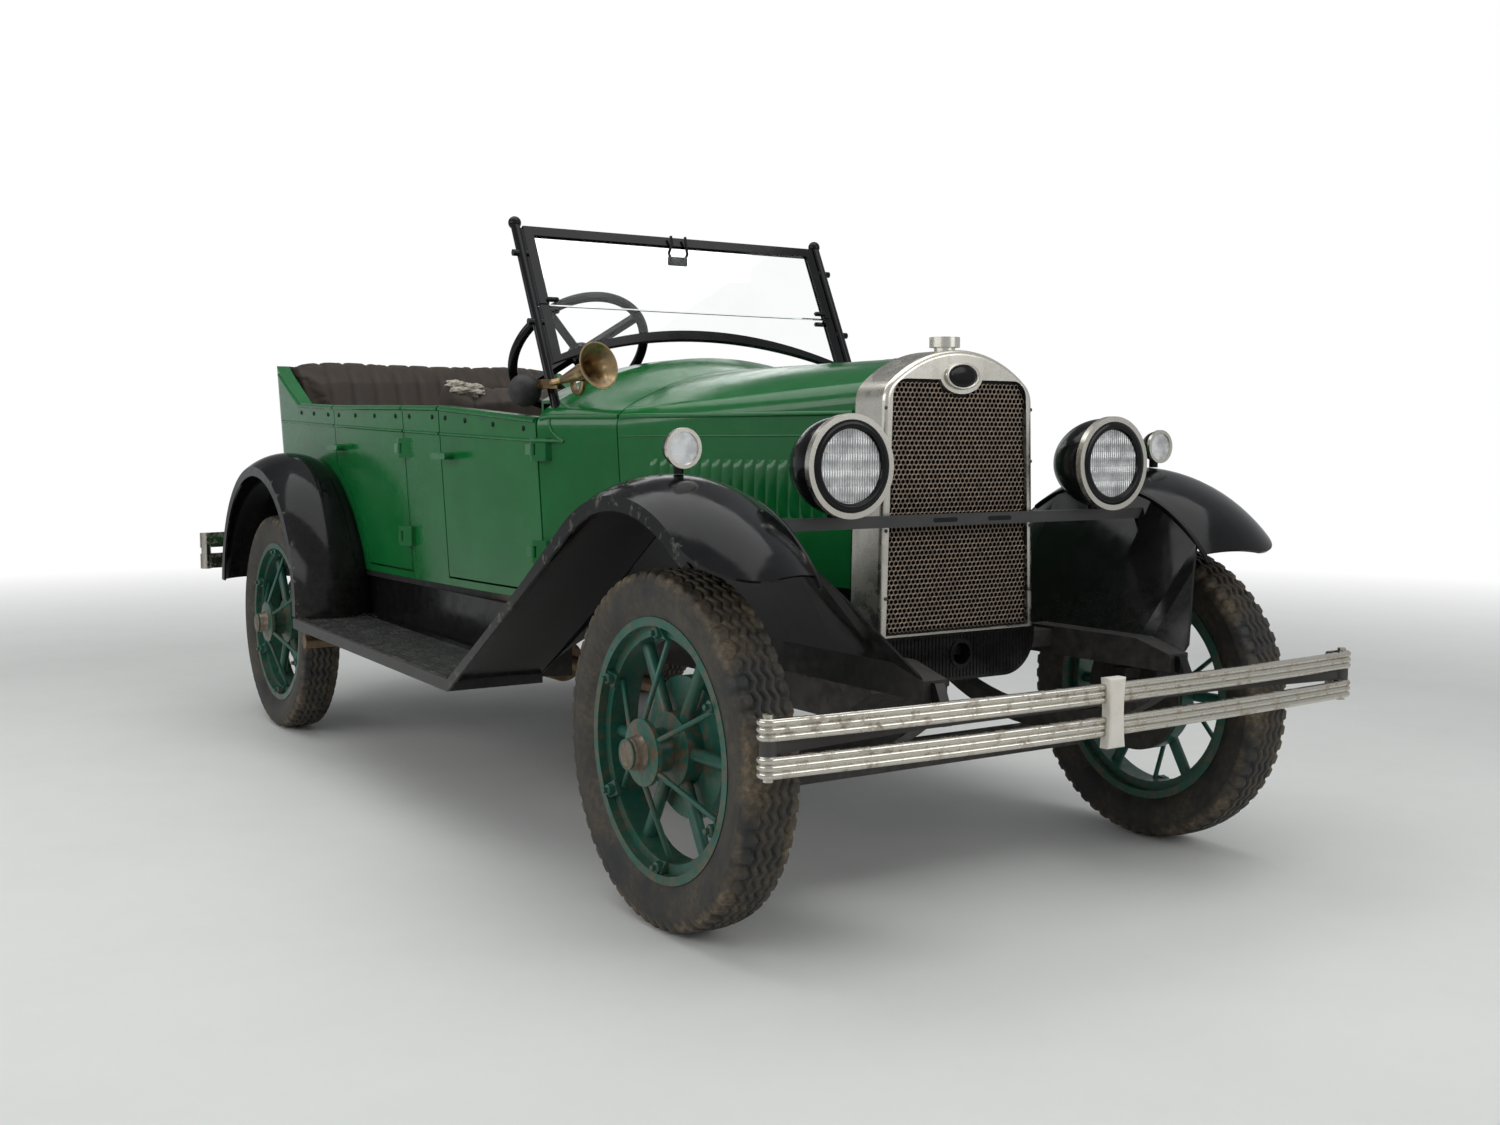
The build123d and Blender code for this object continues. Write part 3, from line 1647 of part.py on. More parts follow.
with BuildPart() as screen_posts:
    add(whole_posts.part.solids().sort_by(SortBy.VOLUME)[-2:])
pieces["screen_posts"] = screen_posts

pane_half = screen_half - frame_bar
with BuildPart() as screen_frames:
    with BuildSketch(screen_plane):
        with BuildLine():
            Polyline(
                (-screen_half, split_height + split_gap),
                (-screen_half, post_length),
                (screen_half, post_length),
                (screen_half, split_height + split_gap),
                (pane_half, split_height + split_gap),
                (pane_half, post_length - frame_bar),
                (-pane_half, post_length - frame_bar),
                (-pane_half, split_height + split_gap),
                close=True,
            )
        make_face()
        with BuildLine():
            Line((-screen_half, split_height), (-screen_half, corner_height))
            ThreePointArc(
                (-screen_half, corner_height), (0, arch_height), (screen_half, corner_height)
            )
            Polyline(
                (screen_half, corner_height),
                (screen_half, split_height),
                (pane_half, split_height),
                (pane_half, corner_height + frame_bar),
            )
            ThreePointArc(
                (pane_half, corner_height + frame_bar),
                (0, arch_height + frame_bar),
                (-pane_half, corner_height + frame_bar),
            )
            Polyline(
                (-pane_half, corner_height + frame_bar),
                (-pane_half, split_height),
                (-screen_half, split_height),
            )
        make_face()
    extrude(amount=frame_depth, both=True)
with BuildPart() as screen_glass:
    with BuildSketch(screen_plane):
        with BuildLine():
            Polyline(
                (-pane_half, split_height + split_gap),
                (-pane_half, post_length - frame_bar),
                (pane_half, post_length - frame_bar),
                (pane_half, split_height + split_gap),
                close=True,
            )
        make_face()
        with BuildLine():
            Polyline(
                (pane_half, corner_height + frame_bar),
                (pane_half, split_height),
                (-pane_half, split_height),
                (-pane_half, corner_height + frame_bar),
            )
            ThreePointArc(
                (-pane_half, corner_height + frame_bar),
                (0, arch_height + frame_bar),
                (pane_half, corner_height + frame_bar),
            )
        make_face()
    extrude(amount=glass_half, both=True)
pieces["screen_frames"] = screen_frames
pieces["screen_glass"] = screen_glass

# Steering: a raked column with its box on the frame, and a four-spoke wheel
steering_rim = 14
hub_drop = 40
with BuildPart() as steering_column:
    with BuildSketch(column_plane.offset(hub_drop)):
        Circle(column_radius)
    extrude(amount=column_length - hub_drop)
    box_spot = column_plane.from_local_coords((0, 0, column_length))
    with Locations(box_spot):
        Box(110, 90, 90)
    with Locations((box_spot.X, -rail_inner, box_spot.Z)):
        Box(70, 60, 60, align=(Align.CENTER, Align.MIN, Align.CENTER))
    add(chassis_frame.part, mode=Mode.SUBTRACT)
with BuildPart() as steering_wheel:
    with BuildSketch(Plane(origin=wheel_spot, x_dir=column_down, z_dir=(0, 1, 0))):
        with Locations((0, steering_radius)):
            Circle(steering_rim)
    revolve(axis=Axis(wheel_spot, column_down))
    with BuildSketch(column_plane.offset(-8)):
        for spoke in range(4):
            with Locations(Location((0, 0), 45 + 90 * spoke)):
                with Locations((steering_radius / 2, 0)):
                    Rectangle(steering_radius, 24)
        Circle(34)
    extrude(amount=16)
    with BuildSketch(column_plane.offset(-8)):
        Circle(28)
    extrude(amount=hub_drop + 8 - fit)
pieces["steering_column"] = steering_column
pieces["steering_wheel"] = steering_wheel

# Bulb horn on the right-hand screen post
bell_mouth = (-800, -470, 1206)
bell_radius = 62
bulb_centre = (-1040, -566, 1146)
bulb_radius = 44
neck = (-950, -500, 1172)
bell_axis = Vector(*bell_mouth) - Vector(*neck)
with BuildPart() as horn_bell:
    bell_length = bell_axis.length
    with BuildSketch(Plane(origin=at(*neck), x_dir=bell_axis, z_dir=bell_axis.cross(Vector(0, 0, 1)))):
        with BuildLine():
            Polyline((0, 0), (0, 10), (bell_length * 0.5, 22))
            ThreePointArc(
                (bell_length * 0.5, 22), (bell_length * 0.85, 38), (bell_length, bell_radius)
            )
            Line((bell_length, bell_radius), (bell_length, bell_radius - 4))
            ThreePointArc(
                (bell_length, bell_radius - 4), (bell_length * 0.85, 33), (bell_length * 0.5, 16)
            )
            Polyline((bell_length * 0.5, 16), (bell_length * 0.4, 0), (0, 0))
        make_face()
    revolve(axis=Axis(at(*neck), bell_axis))
    with BuildLine() as horn_tube:
        FilletPolyline(at(*neck), at(-1000, -530, 1160), at(*bulb_centre), radius=20)
    with BuildSketch(Plane(origin=horn_tube.line @ 0, z_dir=horn_tube.line % 0)):
        Circle(9)
    sweep()
    with Locations(at(-990, -524, 1162)):
        Box(30, 40, 24)
    with Locations(at(*bulb_centre)):
        Sphere(bulb_radius, mode=Mode.SUBTRACT)
    add(screen_posts.part, mode=Mode.SUBTRACT)
with BuildPart() as horn_bulb:
    with Locations(at(*bulb_centre)):
        Sphere(bulb_radius)
pieces["horn_bell"] = horn_bell
pieces["horn_bulb"] = horn_bulb

# Seats: boxes on the floor, cushions on the boxes, and backs
front_box = (-1300, -1800, 740, 485)
rear_box = (-2420, -2960, 720, 515)
front_cushion = (-1290, -1690, 880, 505)
rear_cushion = (-2400, -2890, 890, 525)
with BuildPart() as seat_boxes:
    for front, rear, top, half in (front_box, rear_box):
        with BuildSketch(plan(sill_z)):
            with Locations(((front + rear) / 2, 0)):
                Rectangle(front - rear, 2 * half)
        extrude(amount=top - sill_z)
pieces["seat_boxes"] = seat_boxes
for name, (front, rear, top, half), box in (
    ("front", front_cushion, front_box),
    ("rear", rear_cushion, rear_box),
):
    with BuildPart() as cushion:
        with BuildSketch(plan(box[2])):
            with Locations(((front + rear) / 2, 0)):
                RectangleRounded(front - rear, 2 * half, 40)
        extrude(amount=top - box[2])
        fillet(cushion.edges().group_by(Axis.Z)[-1], 35)
    pieces[name + "_cushion"] = cushion
with BuildPart() as front_seat_back:
    with BuildSketch(side(front_cushion[3])):
        with BuildLine():
            Polyline((-1800, front_box[2]), (-1692, front_box[2]), (-1716, 1130))
            ThreePointArc((-1716, 1130), (-1784, 1205), (-1856, 1130))
            Line((-1856, 1130), (-1800, front_box[2]))
        make_face()
    extrude(amount=2 * front_cushion[3])
with BuildPart() as rear_seat_back:
    add(body_inside.part)
    with BuildSketch(side(panel_reach)):
        with BuildLine():
            Polyline(
                (rear_cushion[1] - 2, rear_box[2]),
                (-3080, 1270),
                (-3120, 1310),
                (body_rear - 10, 1314),
                (body_rear - 10, rear_box[2]),
                close=True,
            )
        make_face()
    extrude(amount=2 * panel_reach, mode=Mode.INTERSECT)
pieces["front_seat_back"] = front_seat_back
pieces["rear_seat_back"] = rear_seat_back

# Pedals and the two floor levers
with BuildPart() as driver_controls:
    for y in (-330, -210):
        with BuildSketch(side(y)):
            with BuildLine():
                Polyline((-1020, sill_z), (-1070, 720), (-1058, 726), (-1000, sill_z), close=True)
            make_face()
        extrude(amount=20, both=True)
    for station, y, lean, height in ((-1090, 0, -120, 330), (-1140, -90, -60, 300)):
        with BuildSketch(side(y)):
            with BuildLine():
                Polyline(
                    (station - 9, sill_z),
                    (station + 9, sill_z),
                    (station + 7 + lean, sill_z + height),
                    (station - 7 + lean, sill_z + height),
                    close=True,
                )
            make_face()
        extrude(amount=8, both=True)
        with Locations(at(station + lean, y, sill_z + height)):
            Sphere(20)
pieces["driver_controls"] = driver_controls

for name, piece in pieces.items():
    piece.part.label = name
    export_step(piece.part, f"parts/{name}.step")
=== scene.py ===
# %% [markdown]
# # An open touring car of the 1920s
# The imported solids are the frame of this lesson: the chassis, wheels, doors and bonnet
# already have their true shapes and joints. Here they get paint, wear, rubber and trim.
# Everything is in metres, in the frame of the solids: X forward, Y to the left, Z up.

# %% Load the frame
import json
import math

import bmesh
import bpy
import numpy as np
from mathutils import Matrix, Vector
from mathutils.noise import noise as noise_at


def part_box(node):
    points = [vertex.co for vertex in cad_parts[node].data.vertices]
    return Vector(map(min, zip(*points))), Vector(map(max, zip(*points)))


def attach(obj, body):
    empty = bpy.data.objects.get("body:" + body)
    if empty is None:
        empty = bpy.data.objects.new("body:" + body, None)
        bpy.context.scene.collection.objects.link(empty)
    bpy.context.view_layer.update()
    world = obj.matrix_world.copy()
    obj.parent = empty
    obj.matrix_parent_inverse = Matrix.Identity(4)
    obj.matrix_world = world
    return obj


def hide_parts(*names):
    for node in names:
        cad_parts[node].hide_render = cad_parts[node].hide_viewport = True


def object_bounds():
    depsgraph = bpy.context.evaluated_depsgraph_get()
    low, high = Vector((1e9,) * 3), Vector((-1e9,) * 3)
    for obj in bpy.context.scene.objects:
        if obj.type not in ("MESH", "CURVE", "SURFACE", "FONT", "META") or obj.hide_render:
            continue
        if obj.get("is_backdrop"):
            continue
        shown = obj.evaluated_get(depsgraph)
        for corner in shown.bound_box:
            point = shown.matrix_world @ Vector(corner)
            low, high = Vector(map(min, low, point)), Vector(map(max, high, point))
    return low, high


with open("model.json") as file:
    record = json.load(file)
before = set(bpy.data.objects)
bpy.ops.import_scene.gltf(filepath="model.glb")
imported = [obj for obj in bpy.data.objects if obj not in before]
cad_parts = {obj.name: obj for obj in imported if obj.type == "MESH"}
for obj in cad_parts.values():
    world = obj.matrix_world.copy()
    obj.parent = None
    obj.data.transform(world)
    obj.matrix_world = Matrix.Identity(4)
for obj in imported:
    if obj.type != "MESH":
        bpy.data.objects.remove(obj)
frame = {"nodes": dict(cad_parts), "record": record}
cad_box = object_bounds()
nodes = frame["nodes"]
scene = bpy.context.scene
front_axle_x = 1.4885
rear_axle_x = sum(corner[0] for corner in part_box("tyre_rear_right")) / 2
tyre_radius = 0.376
sides = (("right", -1), ("left", 1))
wheels = (("front_right", -1), ("front_left", 1), ("rear_right", -1), ("rear_left", 1))


# %% [markdown]
# ## Small helpers
# Stations along the car are counted in metres from the front axle, as on a body drawing.
# A bead or a stud has to lie on the real skin, so its place is found by casting a ray
# at the solid from outside. Typing the coordinates would also work, but a ray cannot miss
# when the body is reshaped.

# %% Places on the solids
def along(station):
    """The X of a station, both in metres."""
    return front_axle_x + station


def box_of(node):
    """The low and the high corner of a node's box."""
    return [Vector(corner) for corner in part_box(node)]


def on_skin(node, x, z, side, out=0.0):
    """The point of a node's outer face at x and z, seen from one side, moved outwards by out."""
    hit, spot, _, _ = nodes[node].ray_cast(Vector((x, side * 2.0, z)), Vector((0, -side, 0)))
    if not hit:
        raise ValueError(f"no skin on {node} at {x:.3f}, {z:.3f}")
    return spot + Vector((0, side * out, 0))


def from_front(node, y, z):
    """Where a ray from ahead of the car meets a node, or None."""
    hit, spot, _, _ = nodes[node].ray_cast(Vector((3.0, y, z)), Vector((-1, 0, 0)))
    return spot if hit else None


print("front axle at x =", front_axle_x)


# %% Pieces
def add_piece(name, data, slot, body, material):
    """An object that rides on a body, in its slot's finish or in a material of its own."""
    data.materials.append(material or finish[slot])
    piece = bpy.data.objects.new(name, data)
    scene.collection.objects.link(piece)
    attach(piece, body)
    return piece


def smooth_faces(mesh):
    """Shades every face of a mesh smooth."""
    mesh.polygons.foreach_set("use_smooth", [True] * len(mesh.polygons))


def mesh_piece(name, verts, faces, slot, body="chassis", material=None, smooth=True):
    """A piece from lists of points and faces."""
    mesh = bpy.data.meshes.new(name)
    mesh.from_pydata(verts, [], faces)
    mesh.validate()
    if smooth:
        smooth_faces(mesh)
    return add_piece(name, mesh, slot, body, material)


def bmesh_piece(name, bm, slot, body="chassis", material=None, smooth=True):
    """The same, from a bmesh, which is freed here."""
    bmesh.ops.recalc_face_normals(bm, faces=bm.faces[:])
    mesh = bpy.data.meshes.new(name)
    bm.to_mesh(mesh)
    bm.free()
    if smooth:
        smooth_faces(mesh)
    return add_piece(name, mesh, slot, body, material)


def block_piece(name, size, place, slot, rounding=0.0):
    """A block on the chassis, with smooth edges if they are rounded."""
    bm = bmesh.new()
    bmesh.ops.create_cube(bm, size=1.0)
    bmesh.ops.scale(bm, vec=size, verts=bm.verts[:])
    if rounding:
        bmesh.ops.bevel(bm, geom=bm.edges[:], offset=rounding, segments=2, affect="EDGES")
    bmesh.ops.translate(bm, vec=place, verts=bm.verts[:])
    bmesh_piece(name, bm, slot, smooth=rounding > 0)


def bead(name, points, radius, slot, body="chassis", material=None):
    """A round bead along a line of points."""
    curve = bpy.data.curves.new(name, "CURVE")
    curve.dimensions = "3D"
    curve.bevel_depth = radius
    curve.bevel_resolution = 3
    curve.use_fill_caps = True
    spline = curve.splines.new("POLY")
    spline.points.add(len(points) - 1)
    for point, place in zip(spline.points, points):
        point.co = (*place, 1.0)
    add_piece(name, curve, slot, body, material)


def turned(bm, origin, axis, outline, count=32, close_start=True, close_end=True):
    """A turned solid from an outline of (radius, depth) pairs along an axis."""
    axis = Vector(axis).normalized()
    across = axis.orthogonal().normalized()
    third = axis.cross(across)
    rows = []
    for radius, depth in outline:
        middle = Vector(origin) + axis * depth
        row = []
        for step in range(count):
            turn = 2 * math.pi * step / count
            arm = across * (radius * math.cos(turn)) + third * (radius * math.sin(turn))
            row.append(bm.verts.new(middle + arm))
        rows.append(row)
    for low, high in zip(rows, rows[1:]):
        for step in range(count):
            following = (step + 1) % count
            bm.faces.new((low[step], low[following], high[following], high[step]))
    if close_start:
        bm.faces.new(list(reversed(rows[0])))
    if close_end:
        bm.faces.new(rows[-1])


def turned_piece(
    name, place, axis, outline, count, ends, slot, body="chassis", material=None, squash=1.0
):
    """One turned solid as a piece. Squash flattens it in height."""
    bm = bmesh.new()
    turned(bm, (0, 0, 0), axis, outline, count, *ends)
    bmesh.ops.scale(bm, vec=(1, 1, squash), verts=bm.verts[:])
    bmesh.ops.translate(bm, vec=place, verts=bm.verts[:])
    bmesh_piece(name, bm, slot, body, material)


finish = {}  # the material of each finish slot of the record, filled in below
print("pieces can be meshes, blocks, beads and turned solids")

# %% [markdown]
# ## Shared surface effects
# Old paint, rubber and plate differ in colour but age the same way: dust gathers low down,
# the finish is blotchy, and the surface is never quite flat. Each effect is one node group
# that puts out a mask or a height, so that every material can use it with its own values.
# Painted textures would look as good from one side, but these need no unwrapping.

# %% Node helpers
def new_group(name, inputs, output):
    """An empty shader node group with float sockets."""
    group = bpy.data.node_groups.new(name, "ShaderNodeTree")
    for label, value in inputs:
        socket = group.interface.new_socket(label, in_out="INPUT", socket_type="NodeSocketFloat")
        socket.default_value = value
    group.interface.new_socket(output, in_out="OUTPUT", socket_type="NodeSocketFloat")
    return group, group.nodes.new("NodeGroupInput").outputs, group.nodes.new("NodeGroupOutput")


def put(tree, value, socket):
    """Links a socket to another, or gives it a plain value."""
    if isinstance(value, bpy.types.NodeSocket):
        tree.links.new(value, socket)
    else:
        socket.default_value = value


def math_node(tree, kind, *values):
    """A math node of values or sockets; gives its output."""
    node = tree.nodes.new("ShaderNodeMath")
    node.operation = kind
    for value, socket in zip(values, node.inputs):
        put(tree, value, socket)
    return node.outputs[0]


def times(tree, first, *others):
    """The product of values or sockets."""
    for other in others:
        first = math_node(tree, "MULTIPLY", first, other)
    return first


def away(tree, value, centre=0.0):
    """How far a value is from a centre."""
    return math_node(tree, "ABSOLUTE", math_node(tree, "SUBTRACT", value, centre))


def distance(tree, a, b):
    """The length of two values at right angles."""
    return math_node(tree, "SQRT", math_node(tree, "ADD", times(tree, a, a), times(tree, b, b)))


def ramp_between(tree, value, low, high, start=0.0, end=1.0):
    """A clamped map of a value from low..high to start..end."""
    node = tree.nodes.new("ShaderNodeMapRange")
    labels = ("Value", "From Min", "From Max", "To Min", "To Max")
    for label, number in zip(labels, (value, low, high, start, end)):
        put(tree, number, node.inputs[label])
    return node.outputs["Result"]


def noise(tree, scale, detail, rough):
    """A noise texture in the piece's own rest coordinates."""
    place = tree.nodes.new("ShaderNodeTexCoord")
    texture = tree.nodes.new("ShaderNodeTexNoise")
    tree.links.new(place.outputs["Object"], texture.inputs["Vector"])
    for label, value in (("Scale", scale), ("Detail", detail), ("Roughness", rough)):
        put(tree, value, texture.inputs[label])
    return texture.outputs["Fac"]


def axis_value(tree, axis, kind="Object"):
    """One of the piece's own coordinates, or of another kind."""
    place = tree.nodes.new("ShaderNodeTexCoord")
    split = tree.nodes.new("ShaderNodeSeparateXYZ")
    tree.links.new(place.outputs[kind], split.inputs[0])
    return split.outputs[axis]


print("node helpers ready")

# %% Blotches, dust and ripple
inputs = [("Scale", 8.0), ("Threshold", 0.5), ("Softness", 0.1)]
blotches, given, result = new_group("Blotches", inputs, "Mask")
blotch_noise = noise(blotches, given["Scale"], 8.0, 0.65)
blotch_high = math_node(blotches, "ADD", given["Threshold"], given["Softness"])
blotch_mask = ramp_between(blotches, blotch_noise, given["Threshold"], blotch_high)
blotches.links.new(blotch_mask, result.inputs["Mask"])

full_dust_z, grain_band = 0.02, (0.35, 0.65)
low_dust, given, result = new_group("Low dust", [("Reach", 0.5), ("Grain", 60.0)], "Mask")
dust_z = axis_value(low_dust, "Z")
dust_height = ramp_between(low_dust, dust_z, full_dust_z, given["Reach"], 1.0, 0.0)
dust_grain = ramp_between(low_dust, noise(low_dust, given["Grain"], 6.0, 0.7), *grain_band)
low_dust.links.new(times(low_dust, dust_height, dust_grain), result.inputs["Mask"])

inputs = [("Coarse", 6.0), ("Fine", 260.0), ("Fine share", 0.1)]
ripple, given, result = new_group("Ripple", inputs, "Height")
coarse_ripple = noise(ripple, given["Coarse"], 2.0, 0.5)
fine_ripple = times(ripple, noise(ripple, given["Fine"], 2.0, 0.5), given["Fine share"])
ripple.links.new(math_node(ripple, "ADD", coarse_ripple, fine_ripple), result.inputs["Height"])
print("groups:", [group.name for group in (blotches, low_dust, ripple)])


# %% Material helpers
def new_material(name, **sockets):
    """A material with one Principled shader and its uniform values set on the shader itself."""
    material = bpy.data.materials.new(name)
    material.use_nodes = True
    shader = material.node_tree.nodes["Principled BSDF"]
    for label, value in sockets.items():
        shader.inputs[label.replace("_", " ")].default_value = value
    return material, material.node_tree, shader


def wire(tree, shader, **sockets):
    """Links outputs to the shader's sockets."""
    for label, value in sockets.items():
        tree.links.new(value, shader.inputs[label.replace("_", " ")])


def fed(shader, label):
    """The output that feeds a shader's socket so far."""
    return shader.inputs[label].links[0].from_socket


def use_group(tree, group, *values):
    """Places a node group with its own values, in the order of its sockets."""
    node = tree.nodes.new("ShaderNodeGroup")
    node.node_tree = group
    for socket, value in zip(node.inputs, values):
        socket.default_value = value
    return node.outputs[0]


def mix_colour(tree, mask, first, second):
    """A colour between two colours or sockets by a mask."""
    node = tree.nodes.new("ShaderNodeMix")
    node.data_type = "RGBA"
    tree.links.new(mask, node.inputs["Factor"])
    for label, value in (("A", first), ("B", second)):
        socket = next(s for s in node.inputs if s.name == label and s.type == "RGBA")
        put(tree, (*value, 1.0) if isinstance(value, tuple) else value, socket)
    return next(s for s in node.outputs if s.type == "RGBA")


def bumped(tree, shader, height, strength, depth):
    """Feeds a height to the shader's normal."""
    node = tree.nodes.new("ShaderNodeBump")
    node.inputs["Strength"].default_value = strength
    node.inputs["Distance"].default_value = depth
    tree.links.new(height, node.inputs["Height"])
    wire(tree, shader, Normal=node.outputs["Normal"])


def by_mask(tree, shader, mask, first, second, rough):
    """Colour and roughness that change together with a mask."""
    colour = mix_colour(tree, mask, first, second)
    wire(tree, shader, Base_Color=colour, Roughness=ramp_between(tree, mask, 0.0, 1.0, *rough))


def blotchy(name, first, second, rough, patch, **sockets):
    """A material of two colours in blotches. Patch is the scale, threshold and softness."""
    material, tree, shader = new_material(name, **sockets)
    mask = use_group(tree, blotches, *patch)
    by_mask(tree, shader, mask, first, second, rough)
    return material, tree, shader, mask


def paint(name, colour, faded, dust, reach, rough, dust_share, shine=0.5):
    """Old enamel: a slightly blotchy colour, dust low down and a faintly wavy gloss."""
    material, tree, shader = new_material(name, IOR=1.46, Specular_IOR_Level=shine)
    aged = mix_colour(tree, use_group(tree, blotches, 5.0, 0.45, 0.25), colour, faded)
    low = times(tree, use_group(tree, low_dust, reach, 45.0), dust_share)
    gloss = ramp_between(tree, use_group(tree, blotches, 22.0, 0.4, 0.3), 0.0, 1.0, *rough)
    dulled = math_node(tree, "ADD", gloss, times(tree, low, 0.45))
    wire(tree, shader, Base_Color=mix_colour(tree, low, aged, dust), Roughness=dulled)
    bumped(tree, shader, use_group(tree, ripple, 4.0, 420.0, 0.04), 0.05, 0.003)
    return material, tree, shader


print("material helpers ready")

# %% [markdown]
# ## Paint
# The body is a deep green enamel, brushed on at some time, so it is glossy but faintly wavy.
# The wings and aprons are black and their rolled lips are rubbed through to grey. One paint
# recipe makes them all; the worn lip is a band of the wing's own Y coordinate broken by noise.
# The doors and the tub are lined with brown trim board inside, picked out by which way a face
# points, which saves a second set of panels.

# %% Plain paints
body_green = (
    (0.0050, 0.118, 0.026), (0.009, 0.140, 0.035), (0.06, 0.055, 0.04), 0.62, (0.13, 0.24), 0.3,
)
enamel_black = (0.0045, 0.0045, 0.005)
soot = (0.06, 0.052, 0.045)
plain_paints = {
    "green_paint": ("Green enamel", *body_green),
    "chassis_black": (
        "Chassis black", (0.010, 0.010, 0.011), (0.022, 0.020, 0.018), (0.10, 0.085, 0.065),
        0.75, (0.4, 0.65), 0.8,
    ),
    "black_paint": (
        "Black enamel", enamel_black, (0.008, 0.008, 0.009), (0.05, 0.045, 0.04),
        0.7, (0.1, 0.22), 0.45, 0.25,
    ),
    "cream_paint": (
        "Cream paint", (0.72, 0.69, 0.62), (0.58, 0.53, 0.44), (0.25, 0.18, 0.12),
        0.5, (0.35, 0.6), 0.4,
    ),
}
for slot, recipe in plain_paints.items():
    finish[slot] = paint(*recipe)[0]
bar_grey = paint(
    "Rubbed black", (0.040, 0.040, 0.040), (0.060, 0.058, 0.054), soot, 0.7, (0.28, 0.42), 0.4
)[0]
print("plain paints:", list(plain_paints))

# %% Wheel paint, muddy at the hub and the rim
finish["wheel_green"], tree, shader = paint(
    "Wheel green", (0.006, 0.082, 0.055), (0.011, 0.104, 0.074), (0.06, 0.05, 0.04),
    0.9, (0.26, 0.46), 0.35,
)
wheel_mud_brown = (0.105, 0.072, 0.046)
hub_band, rim_band = (0.070, 0.150), (0.215, 0.262)
wheel_x = axis_value(tree, "X")
off_front, off_rear = away(tree, wheel_x, front_axle_x), away(tree, wheel_x, rear_axle_x)
off_axle = math_node(tree, "MINIMUM", off_front, off_rear)
off_level = math_node(tree, "SUBTRACT", axis_value(tree, "Z"), tyre_radius)
from_hub = distance(tree, off_axle, off_level)
near_hub = ramp_between(tree, from_hub, *hub_band, 1.0, 0.15)
near_rim = ramp_between(tree, from_hub, *rim_band, 0.0, 0.75)
wheel_spots = use_group(tree, blotches, 48.0, 0.47, 0.12)
wheel_mud = times(tree, math_node(tree, "MAXIMUM", near_hub, near_rim), wheel_spots)
muddy = mix_colour(tree, wheel_mud, fed(shader, "Base Color"), wheel_mud_brown)
wire(tree, shader, Base_Color=muddy)
print("wheel paint:", finish["wheel_green"].name)

# %% Wing paint with rubbed lips
wing_black, tree, shader = paint(
    "Wing black", enamel_black, (0.009, 0.009, 0.01), soot, 0.8, (0.09, 0.2), 0.5, 0.25
)
rubbed_grey, lip_band = (0.10, 0.095, 0.085), (0.812, 0.826)
lip = ramp_between(tree, away(tree, axis_value(tree, "Y")), *lip_band)
lip_wear = times(tree, lip, use_group(tree, blotches, 34.0, 0.56, 0.12))
worn = mix_colour(tree, lip_wear, fed(shader, "Base Color"), rubbed_grey)
dulled = math_node(tree, "ADD", fed(shader, "Roughness"), times(tree, lip_wear, 0.35))
wire(tree, shader, Base_Color=worn, Roughness=dulled)
print("wing paint:", wing_black.name)

# %% Body paint with trim on the inward faces
trimmed_green, tree, shader = paint("Green enamel, trimmed inside", *body_green)
trim_dark, trim_light = (0.030, 0.021, 0.015), (0.050, 0.038, 0.027)
inward_band, forward_band, back_band = (-0.80, -0.70), (0.70, 0.80), (-1.74, -1.70)
side_sign = math_node(tree, "SIGN", axis_value(tree, "Y"))
side_inward = times(tree, axis_value(tree, "Y", "Normal"), side_sign)
side_trim = ramp_between(tree, side_inward, *inward_band, 1.0, 0.0)
back_place = ramp_between(tree, axis_value(tree, "X"), *back_band, 1.0, 0.0)
back_forward = ramp_between(tree, axis_value(tree, "X", "Normal"), *forward_band)
trim = math_node(tree, "MAXIMUM", side_trim, times(tree, back_forward, back_place))
trim_patch = use_group(tree, blotches, 9.0, 0.42, 0.3)
trim_colour = mix_colour(tree, trim_patch, trim_dark, trim_light)
lined = mix_colour(tree, trim, fed(shader, "Base Color"), trim_colour)
dulled = math_node(tree, "MAXIMUM", fed(shader, "Roughness"), times(tree, trim, 0.7))
wire(tree, shader, Base_Color=lined, Roughness=dulled)
print("door paint:", trimmed_green.name)


# %% [markdown]
# ## Plate, brass and bare metal
# The radiator shell and lamp rims are nickel gone dull and yellowish; the bumper is chrome
# with brown rust stains, and the gap between its two bars is painted near black as shade, dull
# and not metallic. A mask of fine noise sets colour, metallic and roughness together, so each
# stain is rough and dull at once.

# %% Metals
def worn_plate(name, bright, stain, patch, rough):
    """Plated metal with stains that are also rougher."""
    material, tree, shader, stains = blotchy(name, bright, stain, rough, patch, IOR=1.8)
    wire(tree, shader, Metallic=ramp_between(tree, stains, 0.0, 1.0, 1.0, 0.35))
    bumped(tree, shader, use_group(tree, ripple, 14.0, 500.0, 0.02), 0.10, 0.003)
    return material, tree, shader


metals = {
    "nickel": (
        "Worn nickel", (0.67, 0.645, 0.575), (0.40, 0.37, 0.30), (18.0, 0.48, 0.35), (0.26, 0.38)
    ),
    "brass_horn": (
        "Dull brass", (0.38, 0.27, 0.14), (0.16, 0.11, 0.06), (40.0, 0.46, 0.25), (0.3, 0.6)
    ),
    "iron": (
        "Oily iron", (0.09, 0.085, 0.08), (0.06, 0.045, 0.035), (30.0, 0.45, 0.3), (0.45, 0.75)
    ),
    "rusty_steel": (
        "Rusty pipe", (0.24, 0.17, 0.10), (0.11, 0.065, 0.04), (38.0, 0.42, 0.3), (0.5, 0.85)
    ),
    "core_brown": (
        "Core brown", (0.235, 0.185, 0.145), (0.10, 0.075, 0.056), (60.0, 0.45, 0.3), (0.4, 0.7)
    ),
}
for slot, recipe in metals.items():
    finish[slot] = worn_plate(*recipe)[0]
